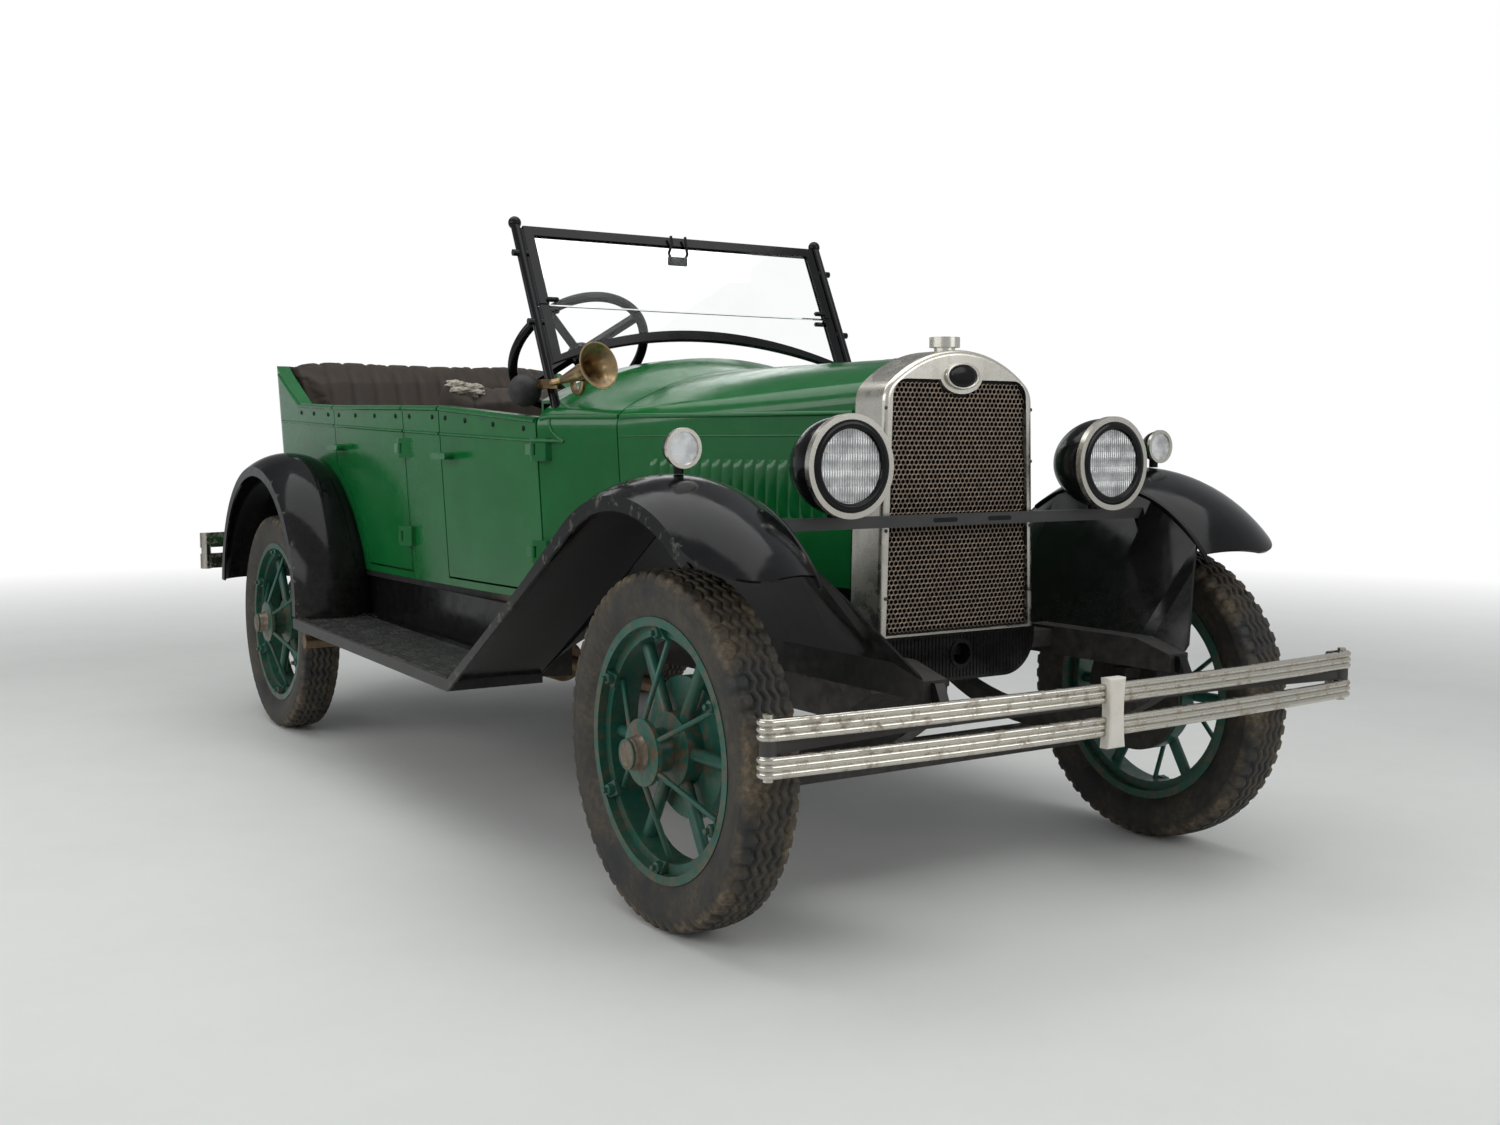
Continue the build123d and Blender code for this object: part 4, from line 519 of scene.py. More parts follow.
rusty_cap = worn_plate(
    "Rusty cap", (0.23, 0.19, 0.15), (0.12, 0.075, 0.045), (55.0, 0.42, 0.25), (0.45, 0.8)
)[0]
print("metals:", list(metals), "and", rusty_cap.name)

# %% Bumper chrome with painted shade between its bars
finish["worn_chrome"], tree, shader = worn_plate(
    "Stained chrome with painted gap shade", (0.56, 0.535, 0.475), (0.24, 0.18, 0.115), (34.0, 0.51, 0.2), (0.2, 0.6)
)
# The band between the two bars is painted shade: near black, dull and not metallic.
gap_shade_colour = (0.020, 0.016, 0.013)
low_bar_top, high_bar_bottom = (0.4552, 0.4558), (0.4822, 0.4828)
bar_level = axis_value(tree, "Z")
over_low_bar = ramp_between(tree, bar_level, *low_bar_top)
under_high_bar = ramp_between(tree, bar_level, *high_bar_bottom, 1.0, 0.0)
gap_shade_band = times(tree, over_low_bar, under_high_bar)
plated = math_node(tree, "SUBTRACT", 1.0, gap_shade_band)
wire(
    tree, shader,
    Base_Color=mix_colour(tree, gap_shade_band, fed(shader, "Base Color"), gap_shade_colour),
    Roughness=math_node(tree, "MAXIMUM", fed(shader, "Roughness"), times(tree, gap_shade_band, 0.7)),
    Metallic=math_node(tree, "MINIMUM", fed(shader, "Metallic"), plated),
)
print("bumper:", finish["worn_chrome"].name)

# %% [markdown]
# ## Rubber, hide, wood and glass
# Tyre rubber is grey with dried mud, most of all in the grooves and on the shoulders. The
# seats are a worn brown leather cloth with a fine grain. The floor boards run across the car,
# their joints are a thin dark line every hand's width, and their ends are painted black.

# %% Rubber
finish["tyre"], tree, shader = new_material("Dusty rubber", IOR=1.45)
shoulder_band, crown_band = (0.345, 0.362), (0.366, 0.374)
from_axle = distance(tree, axis_value(tree, "X"), axis_value(tree, "Z"))
on_tread = ramp_between(tree, from_axle, *shoulder_band, 0.30, 1.0)
in_groove = ramp_between(tree, from_axle, *crown_band, 1.0, 0.5)
mud = use_group(tree, blotches, 8.0, 0.38, 0.22)
speck = ramp_between(tree, use_group(tree, blotches, 70.0, 0.42, 0.2), 0.0, 1.0, 0.35, 1.0)
mud_mask = times(tree, mud, on_tread, in_groove, speck)
by_mask(tree, shader, mud_mask, (0.015, 0.0155, 0.015), (0.205, 0.155, 0.095), (0.55, 0.92))
bumped(tree, shader, use_group(tree, ripple, 40.0, 320.0, 0.4), 0.3, 0.003)

finish["black_rubber"], tree, shader, _ = blotchy(
    "Black rubber", (0.012, 0.012, 0.012), (0.045, 0.042, 0.038), (0.5, 0.75),
    (24.0, 0.45, 0.3), IOR=1.45,
)
bumped(tree, shader, use_group(tree, ripple, 30.0, 300.0, 0.5), 0.2, 0.002)
print("rubber:", finish["tyre"].name, "and", finish["black_rubber"].name)

# %% Hide, stuffing and the painted shade of hollows
finish["brown_hide"], tree, shader, _ = blotchy(
    "Brown hide", (0.026, 0.0185, 0.0125), (0.048, 0.036, 0.025), (0.55, 0.8),
    (7.0, 0.42, 0.3), IOR=1.42,
)
grain = tree.nodes.new("ShaderNodeTexVoronoi")
grain.inputs["Scale"].default_value = 420.0
grain_place = tree.nodes.new("ShaderNodeTexCoord")
tree.links.new(grain_place.outputs["Object"], grain.inputs["Vector"])
bumped(tree, shader, grain.outputs["Distance"], 0.25, 0.0012)

stuffing, tree, shader, _ = blotchy(
    "Cotton stuffing", (0.42, 0.38, 0.31), (0.20, 0.165, 0.125), (0.85, 1.0),
    (60.0, 0.4, 0.3), IOR=1.4, Sheen_Weight=0.6,
)
bumped(tree, shader, use_group(tree, ripple, 120.0, 600.0, 0.6), 0.6, 0.004)

# Near black, standing for the shade inside slots, tube recesses and holes: painted shade, not the
# colour of a part.
hollow_painted_shade = blotchy(
    "Painted hollow shade", (0.002, 0.002, 0.002), (0.006, 0.005, 0.004), (0.7, 0.9),
    (30.0, 0.4, 0.4), IOR=1.4,
)[0]
print("soft finishes:", finish["brown_hide"].name, "and", stuffing.name)

# %% Floor boards
plank_width = 0.105
joint_band, end_band = (0.46, 0.485), (0.545, 0.555)
joint_dark, end_black = (0.006, 0.005, 0.004), (0.006, 0.006, 0.0065)
finish["wood_floor"], tree, shader, _ = blotchy(
    "Floor boards", (0.085, 0.058, 0.038), (0.045, 0.034, 0.026), (0.6, 0.85),
    (14.0, 0.4, 0.3), IOR=1.45,
)
plank = math_node(tree, "FRACT", times(tree, axis_value(tree, "X"), 1 / plank_width))
joint = ramp_between(tree, away(tree, plank, 0.5), *joint_band)
boards = mix_colour(tree, joint, fed(shader, "Base Color"), joint_dark)
board_end = ramp_between(tree, away(tree, axis_value(tree, "Y")), *end_band)
wire(tree, shader, Base_Color=mix_colour(tree, board_end, boards, end_black))
board_grain = use_group(tree, ripple, 30.0, 160.0, 0.5)
bumped(tree, shader, math_node(tree, "SUBTRACT", board_grain, joint), 0.3, 0.004)
print("floor:", finish["wood_floor"].name)

# %% Screen and lamp glass
finish["glass"] = blotchy(
    "Screen glass", (0.97, 0.985, 0.98), (0.93, 0.95, 0.945), (0.0, 0.04),
    (6.0, 0.5, 0.3), IOR=1.22, Transmission_Weight=1.0,
)[0]

flute_width, prism_height = 0.0065, 0.034
flute_grey, headlamp_band = (0.34, 0.345, 0.345), (0.55, 0.56)
finish["lamp_glass"], tree, shader, _ = blotchy(
    "Lamp glass", (0.95, 0.96, 0.95), (0.52, 0.53, 0.53), (0.08, 0.22),
    (26.0, 0.42, 0.2), IOR=1.5, Coat_Weight=0.5, Coat_Roughness=0.03,
)


def waves(axis, width):
    """Rounded ridges of one width along an axis of the lens."""
    turns = times(tree, axis_value(tree, axis), math.pi / width)
    return math_node(tree, "ABSOLUTE", math_node(tree, "SINE", turns))


headlamp = ramp_between(tree, away(tree, axis_value(tree, "Y")), *headlamp_band, 1.0, 0.0)
flute, prism = waves("Y", flute_width), waves("Z", prism_height)
fluted = times(tree, flute, headlamp, 0.35)
relief = math_node(tree, "ADD", times(tree, flute, 0.5), times(tree, prism, 0.9))
wire(
    tree, shader,
    Base_Color=mix_colour(tree, fluted, fed(shader, "Base Color"), flute_grey),
    Metallic=ramp_between(tree, prism, 0.0, 1.0, 0.45, 0.65),
)
bumped(tree, shader, times(tree, headlamp, relief), 0.8, 0.004)
print("glass:", finish["glass"].name, "and", finish["lamp_glass"].name)

# %% [markdown]
# ## Dress the solids
# Each solid keeps its shape and only changes its material. The finishes are kept in a table
# under the names of the record's slots, so one pass does it, and a few solids get their own.

# %% Assign materials
doors = [f"door_{row}_{side_name}" for row in ("front", "rear") for side_name, _ in sides]
own_finish = {node: trimmed_green for node in ("rear_tub", "body_posts", *doors)}
own_finish.update(front_fenders=wing_black, rear_fenders=wing_black)
# The radiator core solid behind the honeycomb is coloured near black as painted shade.
own_finish.update(lamp_bar=bar_grey, radiator_core=hollow_painted_shade)
slot_of_node = {part["node"]: part["material_slot"] for part in frame["record"]["subparts"]}
for name, solid in nodes.items():
    for material_slot in solid.material_slots:
        material_slot.material = own_finish.get(name, finish[slot_of_node[name]])
print("dressed", len(nodes), "solids")

# %% [markdown]
# ## Tyres
# The tyres are narrow, with zig-zag ribs between straight-sided shoulders. The pattern could be
# a bump map, but a groove this deep shows at the edge of the tyre, so the whole tyre is swept as
# a mesh: a ring of cross-sections whose tread points sink where a groove passes.

# %% Cross-section of a tyre
turn_steps = 480
tread_points = 45
tread_half = 0.052
crown_drop = 0.0055
wall = [
    (0.040, 0.266, 0.0), (0.045, 0.272, 0.0), (0.050, 0.281, 0.0), (0.0515, 0.284, 0.0),
    (0.0535, 0.287, 0.0), (0.0585, 0.298, 0.0), (0.0625, 0.311, 0.0), (0.0645, 0.324, 0.0),
    (0.0648, 0.334, 0.0), (0.0640, 0.343, 0.0), (0.0650, 0.346, 0.0), (0.0640, 0.350, 0.3),
    (0.0618, 0.358, 1.0), (0.0590, 0.365, 1.0), (0.0555, 0.3695, 1.0),
]
tread = []
for step in range(tread_points):
    y = tread_half - 2 * tread_half * step / (tread_points - 1)
    tread.append((y, tyre_radius - crown_drop * abs(y / tread_half) ** 2.6, 1.0))
section = wall + tread + [(-y, r, share) for y, r, share in reversed(wall)]
print("points of a section, each y, radius and share of tread:", len(section))

# %% Sweep one tyre
zigzags, zig_reach = 60, 0.0052
groove_lines = (-0.031, -0.0105, 0.0105, 0.031)
groove_depth, groove_half, groove_slope = 0.0075, 0.0042, 0.0016
notch_start, notch_depth, notch_half, notch_slope = 0.040, 0.006, 0.19, 0.05
turns = np.arange(turn_steps) * 2 * np.pi / turn_steps
beats = turns * zigzags / (2 * np.pi)
zig = zig_reach * (2 * np.abs(2 * (beats % 1.0) - 1.0) - 1.0)
rings = []
for y, r, share in section:
    depth = np.zeros(turn_steps)
    if share > 0:
        for centre in groove_lines:
            off_line = np.abs(y - centre - zig)
            cut = np.clip((groove_half - off_line) / groove_slope, 0, 1)
            depth = np.maximum(depth, groove_depth * cut)
    if share > 0 and abs(y) > notch_start:
        phase = (beats + (0.5 if y > 0 else 0.0)) % 1.0
        notch = np.clip((notch_half - np.abs(phase - 0.5)) / notch_slope, 0, 1)
        depth = np.maximum(depth, notch_depth * share * notch)
    reach = r - depth
    ring = [reach * np.cos(turns), np.full(turn_steps, y), reach * np.sin(turns)]
    rings.append(np.stack(ring, axis=1))
tyre_verts = np.stack(rings, axis=1)
index = np.arange(turn_steps * len(section)).reshape(turn_steps, len(section))
ahead = np.roll(index, -1, axis=0)
below = np.roll(index, -1, axis=1)
faces = np.stack([index, below, np.roll(below, -1, axis=0), ahead], axis=2).reshape(-1, 4)
tyre_mesh = bpy.data.meshes.new("Ribbed tyre")
tyre_mesh.from_pydata(tyre_verts.reshape(-1, 3).tolist(), [], faces.tolist())
smooth_faces(tyre_mesh)
tyre_mesh.materials.append(finish["tyre"])
print("tyre faces:", len(tyre_mesh.polygons))

# %% Fit the five tyres
for node_name in [f"tyre_{place}" for place, _ in wheels] + ["spare_tyre"]:
    low, high = box_of(node_name)
    piece = bpy.data.objects.new(f"ribbed_{node_name}", tyre_mesh)
    scene.collection.objects.link(piece)
    piece.location = (low + high) / 2
    if node_name == "spare_tyre":
        piece.rotation_euler = (0, 0, math.pi / 2)
        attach(piece, "chassis")
    else:
        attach(piece, node_name.replace("tyre", "wheel"))
    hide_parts(node_name)
print("fitted 5 tyres")

# %% [markdown]
# ## Body mouldings
# Two half-round beads run along the body: one just under the top edge, which goes on over the
# cowl and the bonnet, and one lower down that rises to the rear and ends in a point on the cowl.
# They are bevelled curves laid on the skin, cut at every door so that each length moves with
# its own door.

# %% Lines of the beads
top_line = [
    (-0.990, 1.075), (-1.571, 1.116), (-1.846, 1.122), (-2.481, 1.134),
    (-2.900, 1.149), (-3.040, 1.209), (-3.190, 1.280),
]
belt_start, belt_run = -0.980, 2.365
belt_base, belt_rise = 1.013, 0.080


def top_z(station):
    """Height of the body's top edge at a station."""
    for (s0, z0), (s1, z1) in zip(top_line, top_line[1:]):
        if station >= s1:
            return z0 + (z1 - z0) * (station - s0) / (s1 - s0)
    return top_line[-1][1]


def belt_z(station):
    """Height of the lower bead at a station."""
    return belt_base + belt_rise * (belt_start - station) / belt_run


def body_of(node):
    """The body that a panel moves with."""
    return node if node.startswith("door") else "chassis"


print("top bead from", top_line[0], "to", top_line[-1])

# %% Beads on the doors and the tub
top_radius, belt_radius = 0.0065, 0.0050
top_drop = 0.010
bead_points = 24
panels = {
    "door_front": (-0.999, -1.568, "door_front_{side}"),
    "post": (-1.580, -1.837, "body_posts"),
    "door_rear": (-1.849, -2.478, "door_rear_{side}"),
    "quarter": (-2.490, -3.170, "rear_tub"),
}
bead_lines = (("top", top_z, top_radius, top_drop), ("belt", belt_z, belt_radius, 0.0))
for side_name, side in sides:
    for panel, (front, rear, node_name) in panels.items():
        node = node_name.format(side=side_name)
        shares = [step / (bead_points - 1) for step in range(bead_points)]
        stations = [front + (rear - front) * share for share in shares]
        for label, height, radius, drop in bead_lines:
            points = [on_skin(node, along(s), height(s) - drop, side) for s in stations]
            name = f"bead_{label}_{panel}_{side_name}"
            bead(name, points, radius, "green_paint", body_of(node))
print("beads on", list(panels))

# %% Beads on the cowl and bonnet
crease_z, fold_z, cowl_end_z = 1.0755, 1.025, 1.0705
crease_points = 11
cowl_start, cowl_pitch = -0.788, 0.0198
bonnet_start, bonnet_pitch = -0.056, 0.0719
top_run = [(cowl_start - cowl_pitch * step, crease_z) for step in range(crease_points)]
top_run[-1] = (top_run[-1][0], cowl_end_z)
cowl_beads = (
    ("top", top_run, top_radius),
    ("belt", [(s, belt_z(s)) for s in (-0.988, -0.965, -0.940, -0.922)], belt_radius),
    (
        "sweep",
        [(-0.922, 1.0112), (-0.938, 1.020), (-0.950, 1.034), (-0.957, 1.050), (-0.961, 1.068)],
        0.0045,
    ),
)
bonnet_stations = [bonnet_start - bonnet_pitch * step for step in range(crease_points)]
for side_name, side in sides:
    for label, run, radius in cowl_beads:
        points = [on_skin("cowl", along(s), z, side) for s, z in run]
        bead(f"bead_{label}_cowl_{side_name}", points, radius, "green_paint")
    bonnet = f"bonnet_{side_name}"
    for label, z, radius in (("crease", crease_z, top_radius), ("fold", fold_z, 0.0022)):
        points = [on_skin(bonnet, along(s), z, side) for s in bonnet_stations]
        bead(f"bead_{label}_bonnet_{side_name}", points, radius, "green_paint", bonnet)
print("beads on cowl and bonnet")

# %% [markdown]
# ## Louvres
# A row of pressed louvres lets the heat out of each bonnet side. Every louvre is a small hood
# that rises from the sheet at its front edge and is open at the rear, so a grid that lifts along
# one way and closes at both ends gives it exactly; a near-black strip of painted shade stands for
# the dark slot.

# %% Shape of one louvre
louvre_count = 17
louvre_front, louvre_pitch = -0.100, 0.034
louvre_top, louvre_height = 0.968, 0.135
louvre_width, louvre_rise = 0.021, 0.010
sheet_gap, end_power = 0.0003, 0.35
slit_gap, slit_inset, slit_lift = 0.0004, 0.001, 0.0002
u_steps, v_steps = 6, 14
row = v_steps + 1


def louvre_patch(node, side, front):
    """The points of one louvre's hood and of the strip of painted shade in its slot."""
    hood, shade_strip = [], []
    levels = [louvre_top - louvre_height * v / v_steps for v in range(row)]
    for u in range(u_steps + 1):
        x = along(front - louvre_width * u / u_steps)
        lift = louvre_rise * math.sin(math.pi / 2 * u / u_steps)
        for v, z in enumerate(levels):
            ends = max(0.0, math.sin(math.pi * v / v_steps)) ** end_power
            hood.append(on_skin(node, x, z, side, lift * ends + sheet_gap))
    slit_x = along(front - louvre_width) + slit_gap
    for edge, z in zip(hood[u_steps * row:], levels):
        shade_strip.append(Vector((slit_x, edge.y - side * slit_inset, edge.z)))
        shade_strip.append(on_skin(node, slit_x, z, side, slit_lift))
    return hood, shade_strip


print("points of a louvre's hood:", (u_steps + 1) * row)

# %% Press the louvres
for side_name, side in sides:
    node = f"bonnet_{side_name}"
    hood_verts, hood_faces, shade_strip_verts, shade_strip_faces = [], [], [], []
    for number in range(louvre_count):
        hood, shade_strip = louvre_patch(node, side, louvre_front - louvre_pitch * number)
        for u in range(u_steps):
            for v in range(v_steps):
                a = len(hood_verts) + u * row + v
                hood_faces.append((a, a + 1, a + row + 1, a + row))
        for v in range(v_steps):
            a = len(shade_strip_verts) + 2 * v
            shade_strip_faces.append((a, a + 2, a + 3, a + 1))
        hood_verts.extend(hood)
        shade_strip_verts.extend(shade_strip)
    mesh_piece(f"louvres_{side_name}", hood_verts, hood_faces, "green_paint", node)
    # The slot strips are painted shade: a near-black sheet where the open slot would lie in shadow.
    name = f"louvre_slots_{side_name}"
    mesh_piece(name, shade_strip_verts, shade_strip_faces, "black_paint", node, hollow_painted_shade)
print("louvres:", 2 * louvre_count)

# %% [markdown]
# ## Curtain studs
# Small dark press studs under the top bead once held the side curtains. Each is a low turned
# dome set on the skin.

# %% Set the studs
stud_drop = 0.034
stud_outline = [(0.0075, 0.0), (0.0075, 0.002), (0.006, 0.004), (0.003, 0.0055)]
stud_rows = {
    "door_front_{side}": (-1.06, -1.23, -1.40, -1.53),
    "body_posts": (-1.62, -1.79),
    "door_rear_{side}": (-1.90, -2.08, -2.26, -2.43),
    "rear_tub": (-2.55, -2.72, -2.88),
}
for side_name, side in sides:
    for node_name, stations in stud_rows.items():
        node = node_name.format(side=side_name)
        bm = bmesh.new()
        for station in stations:
            spot = on_skin(node, along(station), top_z(station) - stud_drop, side, -0.001)
            turned(bm, spot, (0, side, 0), stud_outline, 16)
        label = node_name.split("_{")[0]
        bmesh_piece(f"studs_{label}_{side_name}", bm, "black_paint", body_of(node))
print("studs:", 2 * sum(len(stations) for stations in stud_rows.values()))

# %% [markdown]
# ## Radiator
# The core is a honeycomb of hexagonal tubes. A texture would look flat at a slant, so each tube
# is a real hexagon with a rim and a recess; the recess walls, like the core solid behind, are
# coloured near black as painted shade. Tubes are kept only where a ray from the front meets
# the core, which trims the pattern to the shell's opening.

# %% Honeycomb
core_low, core_high = box_of("radiator_core")
core_front = core_high.x
tube_pitch = 0.0123
tube_radius = tube_pitch / math.sqrt(3)
tube_rings = ((1.0, 0.0065), (0.74, 0.0070), (0.70, 0.0003))
probe, cover_gap, core_gap = 0.006, 0.003, 0.004
probes = ((probe, 0.0), (-probe, 0.0), (0.0, probe), (0.0, -probe))
row_count = int((core_high.z - core_low.z) / (1.5 * tube_radius)) + 1
column_count = int((core_high.y - core_low.y) / tube_pitch) + 1


def opens_to_core(y, z):
    """True where the core is seen from the front and neither shell nor apron is in the way."""
    spot = from_front("radiator_core", y, z)
    for node in ("radiator_shell", "radiator_apron"):
        cover = from_front(node, y, z)
        if cover and cover.x >= core_front - cover_gap:
            return False
    return spot is not None and spot.x > core_front - core_gap


verts, rim_faces, wall_faces = [], [], []
for row in range(row_count):
    for column in range(column_count):
        y = core_low.y + tube_pitch * (column + (0.5 if row % 2 else 0.0))
        z = core_low.z + 1.5 * tube_radius * row
        if not all(opens_to_core(y + dy, z + dz) for dy, dz in probes):
            continue
        start = len(verts)
        for share, lift in tube_rings:
            radius = tube_radius * share
            for corner in range(6):
                turn = math.pi / 6 + math.pi / 3 * corner
                dy, dz = radius * math.cos(turn), radius * math.sin(turn)
                verts.append((core_front + lift, y + dy, z + dz))
        for corner in range(6):
            following = (corner + 1) % 6
            for base, kept in ((start, rim_faces), (start + 6, wall_faces)):
                near, far = (base + corner, base + following), base + 6
                kept.append((*near, far + following, far + corner))
mesh_piece("honeycomb_rims", verts, rim_faces, "core_brown", smooth=False)
# The walls inside each tube are coloured near black: painted shade in the recess.
mesh_piece("honeycomb_walls", verts, wall_faces, "core_brown", material=hollow_painted_shade, smooth=False)
print("honeycomb tubes:", len(rim_faces) // 6)

# %% Blank badge
badge_z, badge_squash = 1.158, 0.60
badge_place = (from_front("radiator_shell", 0.0, badge_z).x, 0.0, badge_z)
badge_rim = [(0.050, -0.002), (0.050, 0.005), (0.047, 0.0075), (0.043, 0.0068), (0.0415, 0.0045)]
badge_face = [(0.043, 0.003), (0.0415, 0.0050), (0.030, 0.0062), (0.012, 0.0068)]
turned_piece(
    "badge_rim", badge_place, (1, 0, 0), badge_rim, 56, (True, False),
    "nickel", squash=badge_squash,
)
turned_piece(
    "badge_blank", badge_place, (1, 0, 0), badge_face, 56, (True, True),
    "black_paint", squash=badge_squash,
)
print("badge at", round(badge_place[0], 4))

# %% Apron ribs
apron_low, apron_high = box_of("radiator_apron")
apron_face = front_axle_x + 0.069
apron_corner = 0.092
crank_z, crank_clear = 0.529, 0.036
rib_pitch, ribs_each_side = 0.0102, 21
rib_low_gap, rib_top_gap, rib_shortest = 0.008, 0.006, 0.006
rib_profile = ((-0.0005, -0.0036), (0.0022, -0.0022), (0.0022, 0.0022), (-0.0005, 0.0036))
rib_top = apron_high.z - rib_top_gap
bm = bmesh.new()
for number in range(-ribs_each_side, ribs_each_side + 1):
    y = rib_pitch * number
    inset = max(0.0, abs(y) - (apron_high.y - apron_corner))
    rounding = apron_corner - math.sqrt(max(0.0, apron_corner**2 - inset**2))
    rib_low = apron_low.z + rib_low_gap + rounding
    runs = [(rib_low, rib_top)]
    if abs(y) < crank_clear:
        reach = math.sqrt(crank_clear**2 - y**2)
        runs = [(rib_low, crank_z - reach), (crank_z + reach, rib_top)]
    for bottom, top in runs:
        if top - bottom < rib_shortest:
            continue
        low_end, high_end = (
            [bm.verts.new((apron_face + x, y + dy, z)) for x, dy in rib_profile]
            for z in (bottom, top)
        )
        for step in range(3):
            near, far = low_end[step:step + 2], high_end[step:step + 2]
            bm.faces.new((near[0], near[1], far[1], far[0]))
        bm.faces.new(low_end)
        bm.faces.new(list(reversed(high_end)))
bmesh_piece("apron_ribs", bm, "black_paint", smooth=False)
print("apron ribs:", 2 * ribs_each_side + 1)

# %% Lamp bar slots and crank hole in painted shade, and shell screws
bar_low, bar_high = box_of("lamp_bar")
bar_middle_z = (bar_low.z + bar_high.z) / 2
slot_y, slot_lift = 0.080, 0.0006
slot_outline = (
    (-0.032, -0.005), (0.032, -0.005), (0.036, 0.0), (0.032, 0.005), (-0.032, 0.005), (-0.036, 0.0),
)
# The bar's slots are flat near-black faces: painted shade where the openings would be dark.
bm = bmesh.new()
for _, side in sides:
    corners = [
        bm.verts.new((bar_high.x + slot_lift, side * slot_y + dy, bar_middle_z + dz))
        for dy, dz in slot_outline
    ]
    bm.faces.new(corners)
bmesh_piece("lamp_bar_slot_shade", bm, "black_paint", material=hollow_painted_shade, smooth=False)

# The crank guide is a thin tube coloured near black: painted shade inside the crank hole.
guide_outline = [(0.029, 0.0), (0.029, 0.09), (0.031, 0.09), (0.031, 0.0)]
turned_piece(
    "crank_guide", (apron_face - 0.010, 0.0, crank_z), (-1, 0, 0), guide_outline, 40,
    (False, False), "black_paint", material=hollow_painted_shade,
)

screw_y, screw_heights = 0.2135, (0.665, 0.815, 0.965, 1.085)
screw_outline = [(0.0042, -0.0005), (0.0042, 0.0012), (0.003, 0.002)]
bm = bmesh.new()
for _, side in sides:
    for z in screw_heights:
        spot = from_front("radiator_shell", side * screw_y, z)
        turned(bm, spot, (1, 0, 0), screw_outline, 14)
bmesh_piece("shell_screws", bm, "iron")
print("bar slots, crank guide and shell screws made")

# %% [markdown]
# ## Headlamps
# Between the plated rim and the lens sits a black ring, because a smaller sealed lens was fitted
# into the old bowl. It is a turned ring laid on the rim, found with a ray from the front.

# %% Black lens rings
lamp_y, lamp_z, rim_reach = 0.383, 0.960, 0.094
ring_outline = [(0.078, -0.006), (0.080, 0.002), (0.084, 0.0035), (0.095, 0.003), (0.0985, -0.001)]
for side_name, side in sides:
    face = from_front("lamp_rims", side * lamp_y, lamp_z + rim_reach).x
    turned_piece(
        f"lens_ring_{side_name}", (face, side * lamp_y, lamp_z), (1, 0, 0), ring_outline, 56,
        (False, False), "black_paint",
    )
    print("lens ring", side_name, "at", round(face, 4))

# %% [markdown]
# ## Running boards and aprons
# Each board has a ribbed rubber mat inside a metal edging. The mat is one corrugated strip that
# follows the board's slope; the edging is a rounded strip along the outer side. A plate closes
# the rear end of each splash apron, and a bead covers the inner seam of each front fender.

# %% Mats and edgings
board_front, board_rear = -0.966, -2.278
board_front_z, board_rear_z = 0.4051, 0.4318
mat_ends = (board_front - 0.03, board_rear + 0.045)
mat_inner, mat_outer = 0.600, 0.812
mat_ribs, points_per_rib = 13, 6
mat_base, mat_rise, mat_sink = 0.0015, 0.0035, 0.002
edging_y, edging_drop, edging_radius = 0.8235, 0.001, 0.0062


def board_z(station):
    """Height of the board's top at a station."""
    share = (station - board_front) / (board_rear - board_front)
    return board_front_z + (board_rear_z - board_front_z) * share


mat_steps = mat_ribs * points_per_rib
mat_line = [(mat_inner, -mat_sink)]
for step in range(mat_steps + 1):
    wave = math.sin(2 * math.pi * (step % points_per_rib) / points_per_rib)
    y = mat_inner + (mat_outer - mat_inner) * step / mat_steps
    mat_line.append((y, mat_base + mat_rise * max(0.0, wave)))
mat_line.append((mat_outer, -mat_sink))
row = len(mat_line)
mat_faces = [(a, a + 1, row + a + 1, row + a) for a in range(row - 1)]
for side_name, side in sides:
    verts = [(along(s), side * y, board_z(s) + z) for s in mat_ends for y, z in mat_line]
    mesh_piece(f"board_mat_{side_name}", verts, mat_faces, "black_rubber")
    edge = [
        (along(s), side * edging_y, board_z(s) - edging_drop)
        for s in (board_front, -1.4, -1.85, board_rear)
    ]
    bead(f"board_edging_{side_name}", edge, edging_radius, "iron")
print("mats with", mat_ribs, "ribs and edgings fitted")

# %% Apron ends and fender seams
plate_size = (0.105, 0.006, 0.130)
plate_station, plate_y, plate_z = -2.2475, 0.569, 0.500
arch_station, arch_y, arch_z, arch_radius = -0.050, 0.560, 0.470, 0.4345
seam_start, seam_step, seam_points = 36.0, 2.0, 44
seam_radius = 0.006
seam_angles = [math.radians(seam_start + seam_step * step) for step in range(seam_points)]
for side_name, side in sides:
    place = (along(plate_station), side * plate_y, plate_z)
    block_piece(f"apron_end_{side_name}", plate_size, place, "black_paint")
    seam = []
    for angle in seam_angles:
        dx, dz = arch_radius * math.cos(angle), arch_radius * math.sin(angle)
        seam.append((along(arch_station) + dx, side * arch_y, arch_z + dz))
    bead(f"fender_seam_{side_name}", seam, seam_radius, "black_paint", material=wing_black)
print("apron ends and fender seams fitted")

# %% [markdown]
# ## Rim clamps
# The detachable rims are held by clamps with a bolt, spaced round the felloe. One clamp is a
# bevelled wedge with a hexagon bolt; six of them ride on every wheel.

# %% Fit the clamps
clamp_count = 6
bolt_reach = 0.245
bolt_outline = [(0.013, 0.038), (0.013, 0.051), (0.010, 0.0545)]
stud_end_outline = [(0.0065, 0.0545), (0.0065, 0.062), (0.004, 0.064)]
# Each row of the wedge: reach from the hub, half width, and low and high face.
wedge_rows = (
    (0.232, 0.017, 0.026, 0.036), (0.252, 0.015, 0.026, 0.046), (0.268, 0.010, 0.030, 0.046),
)


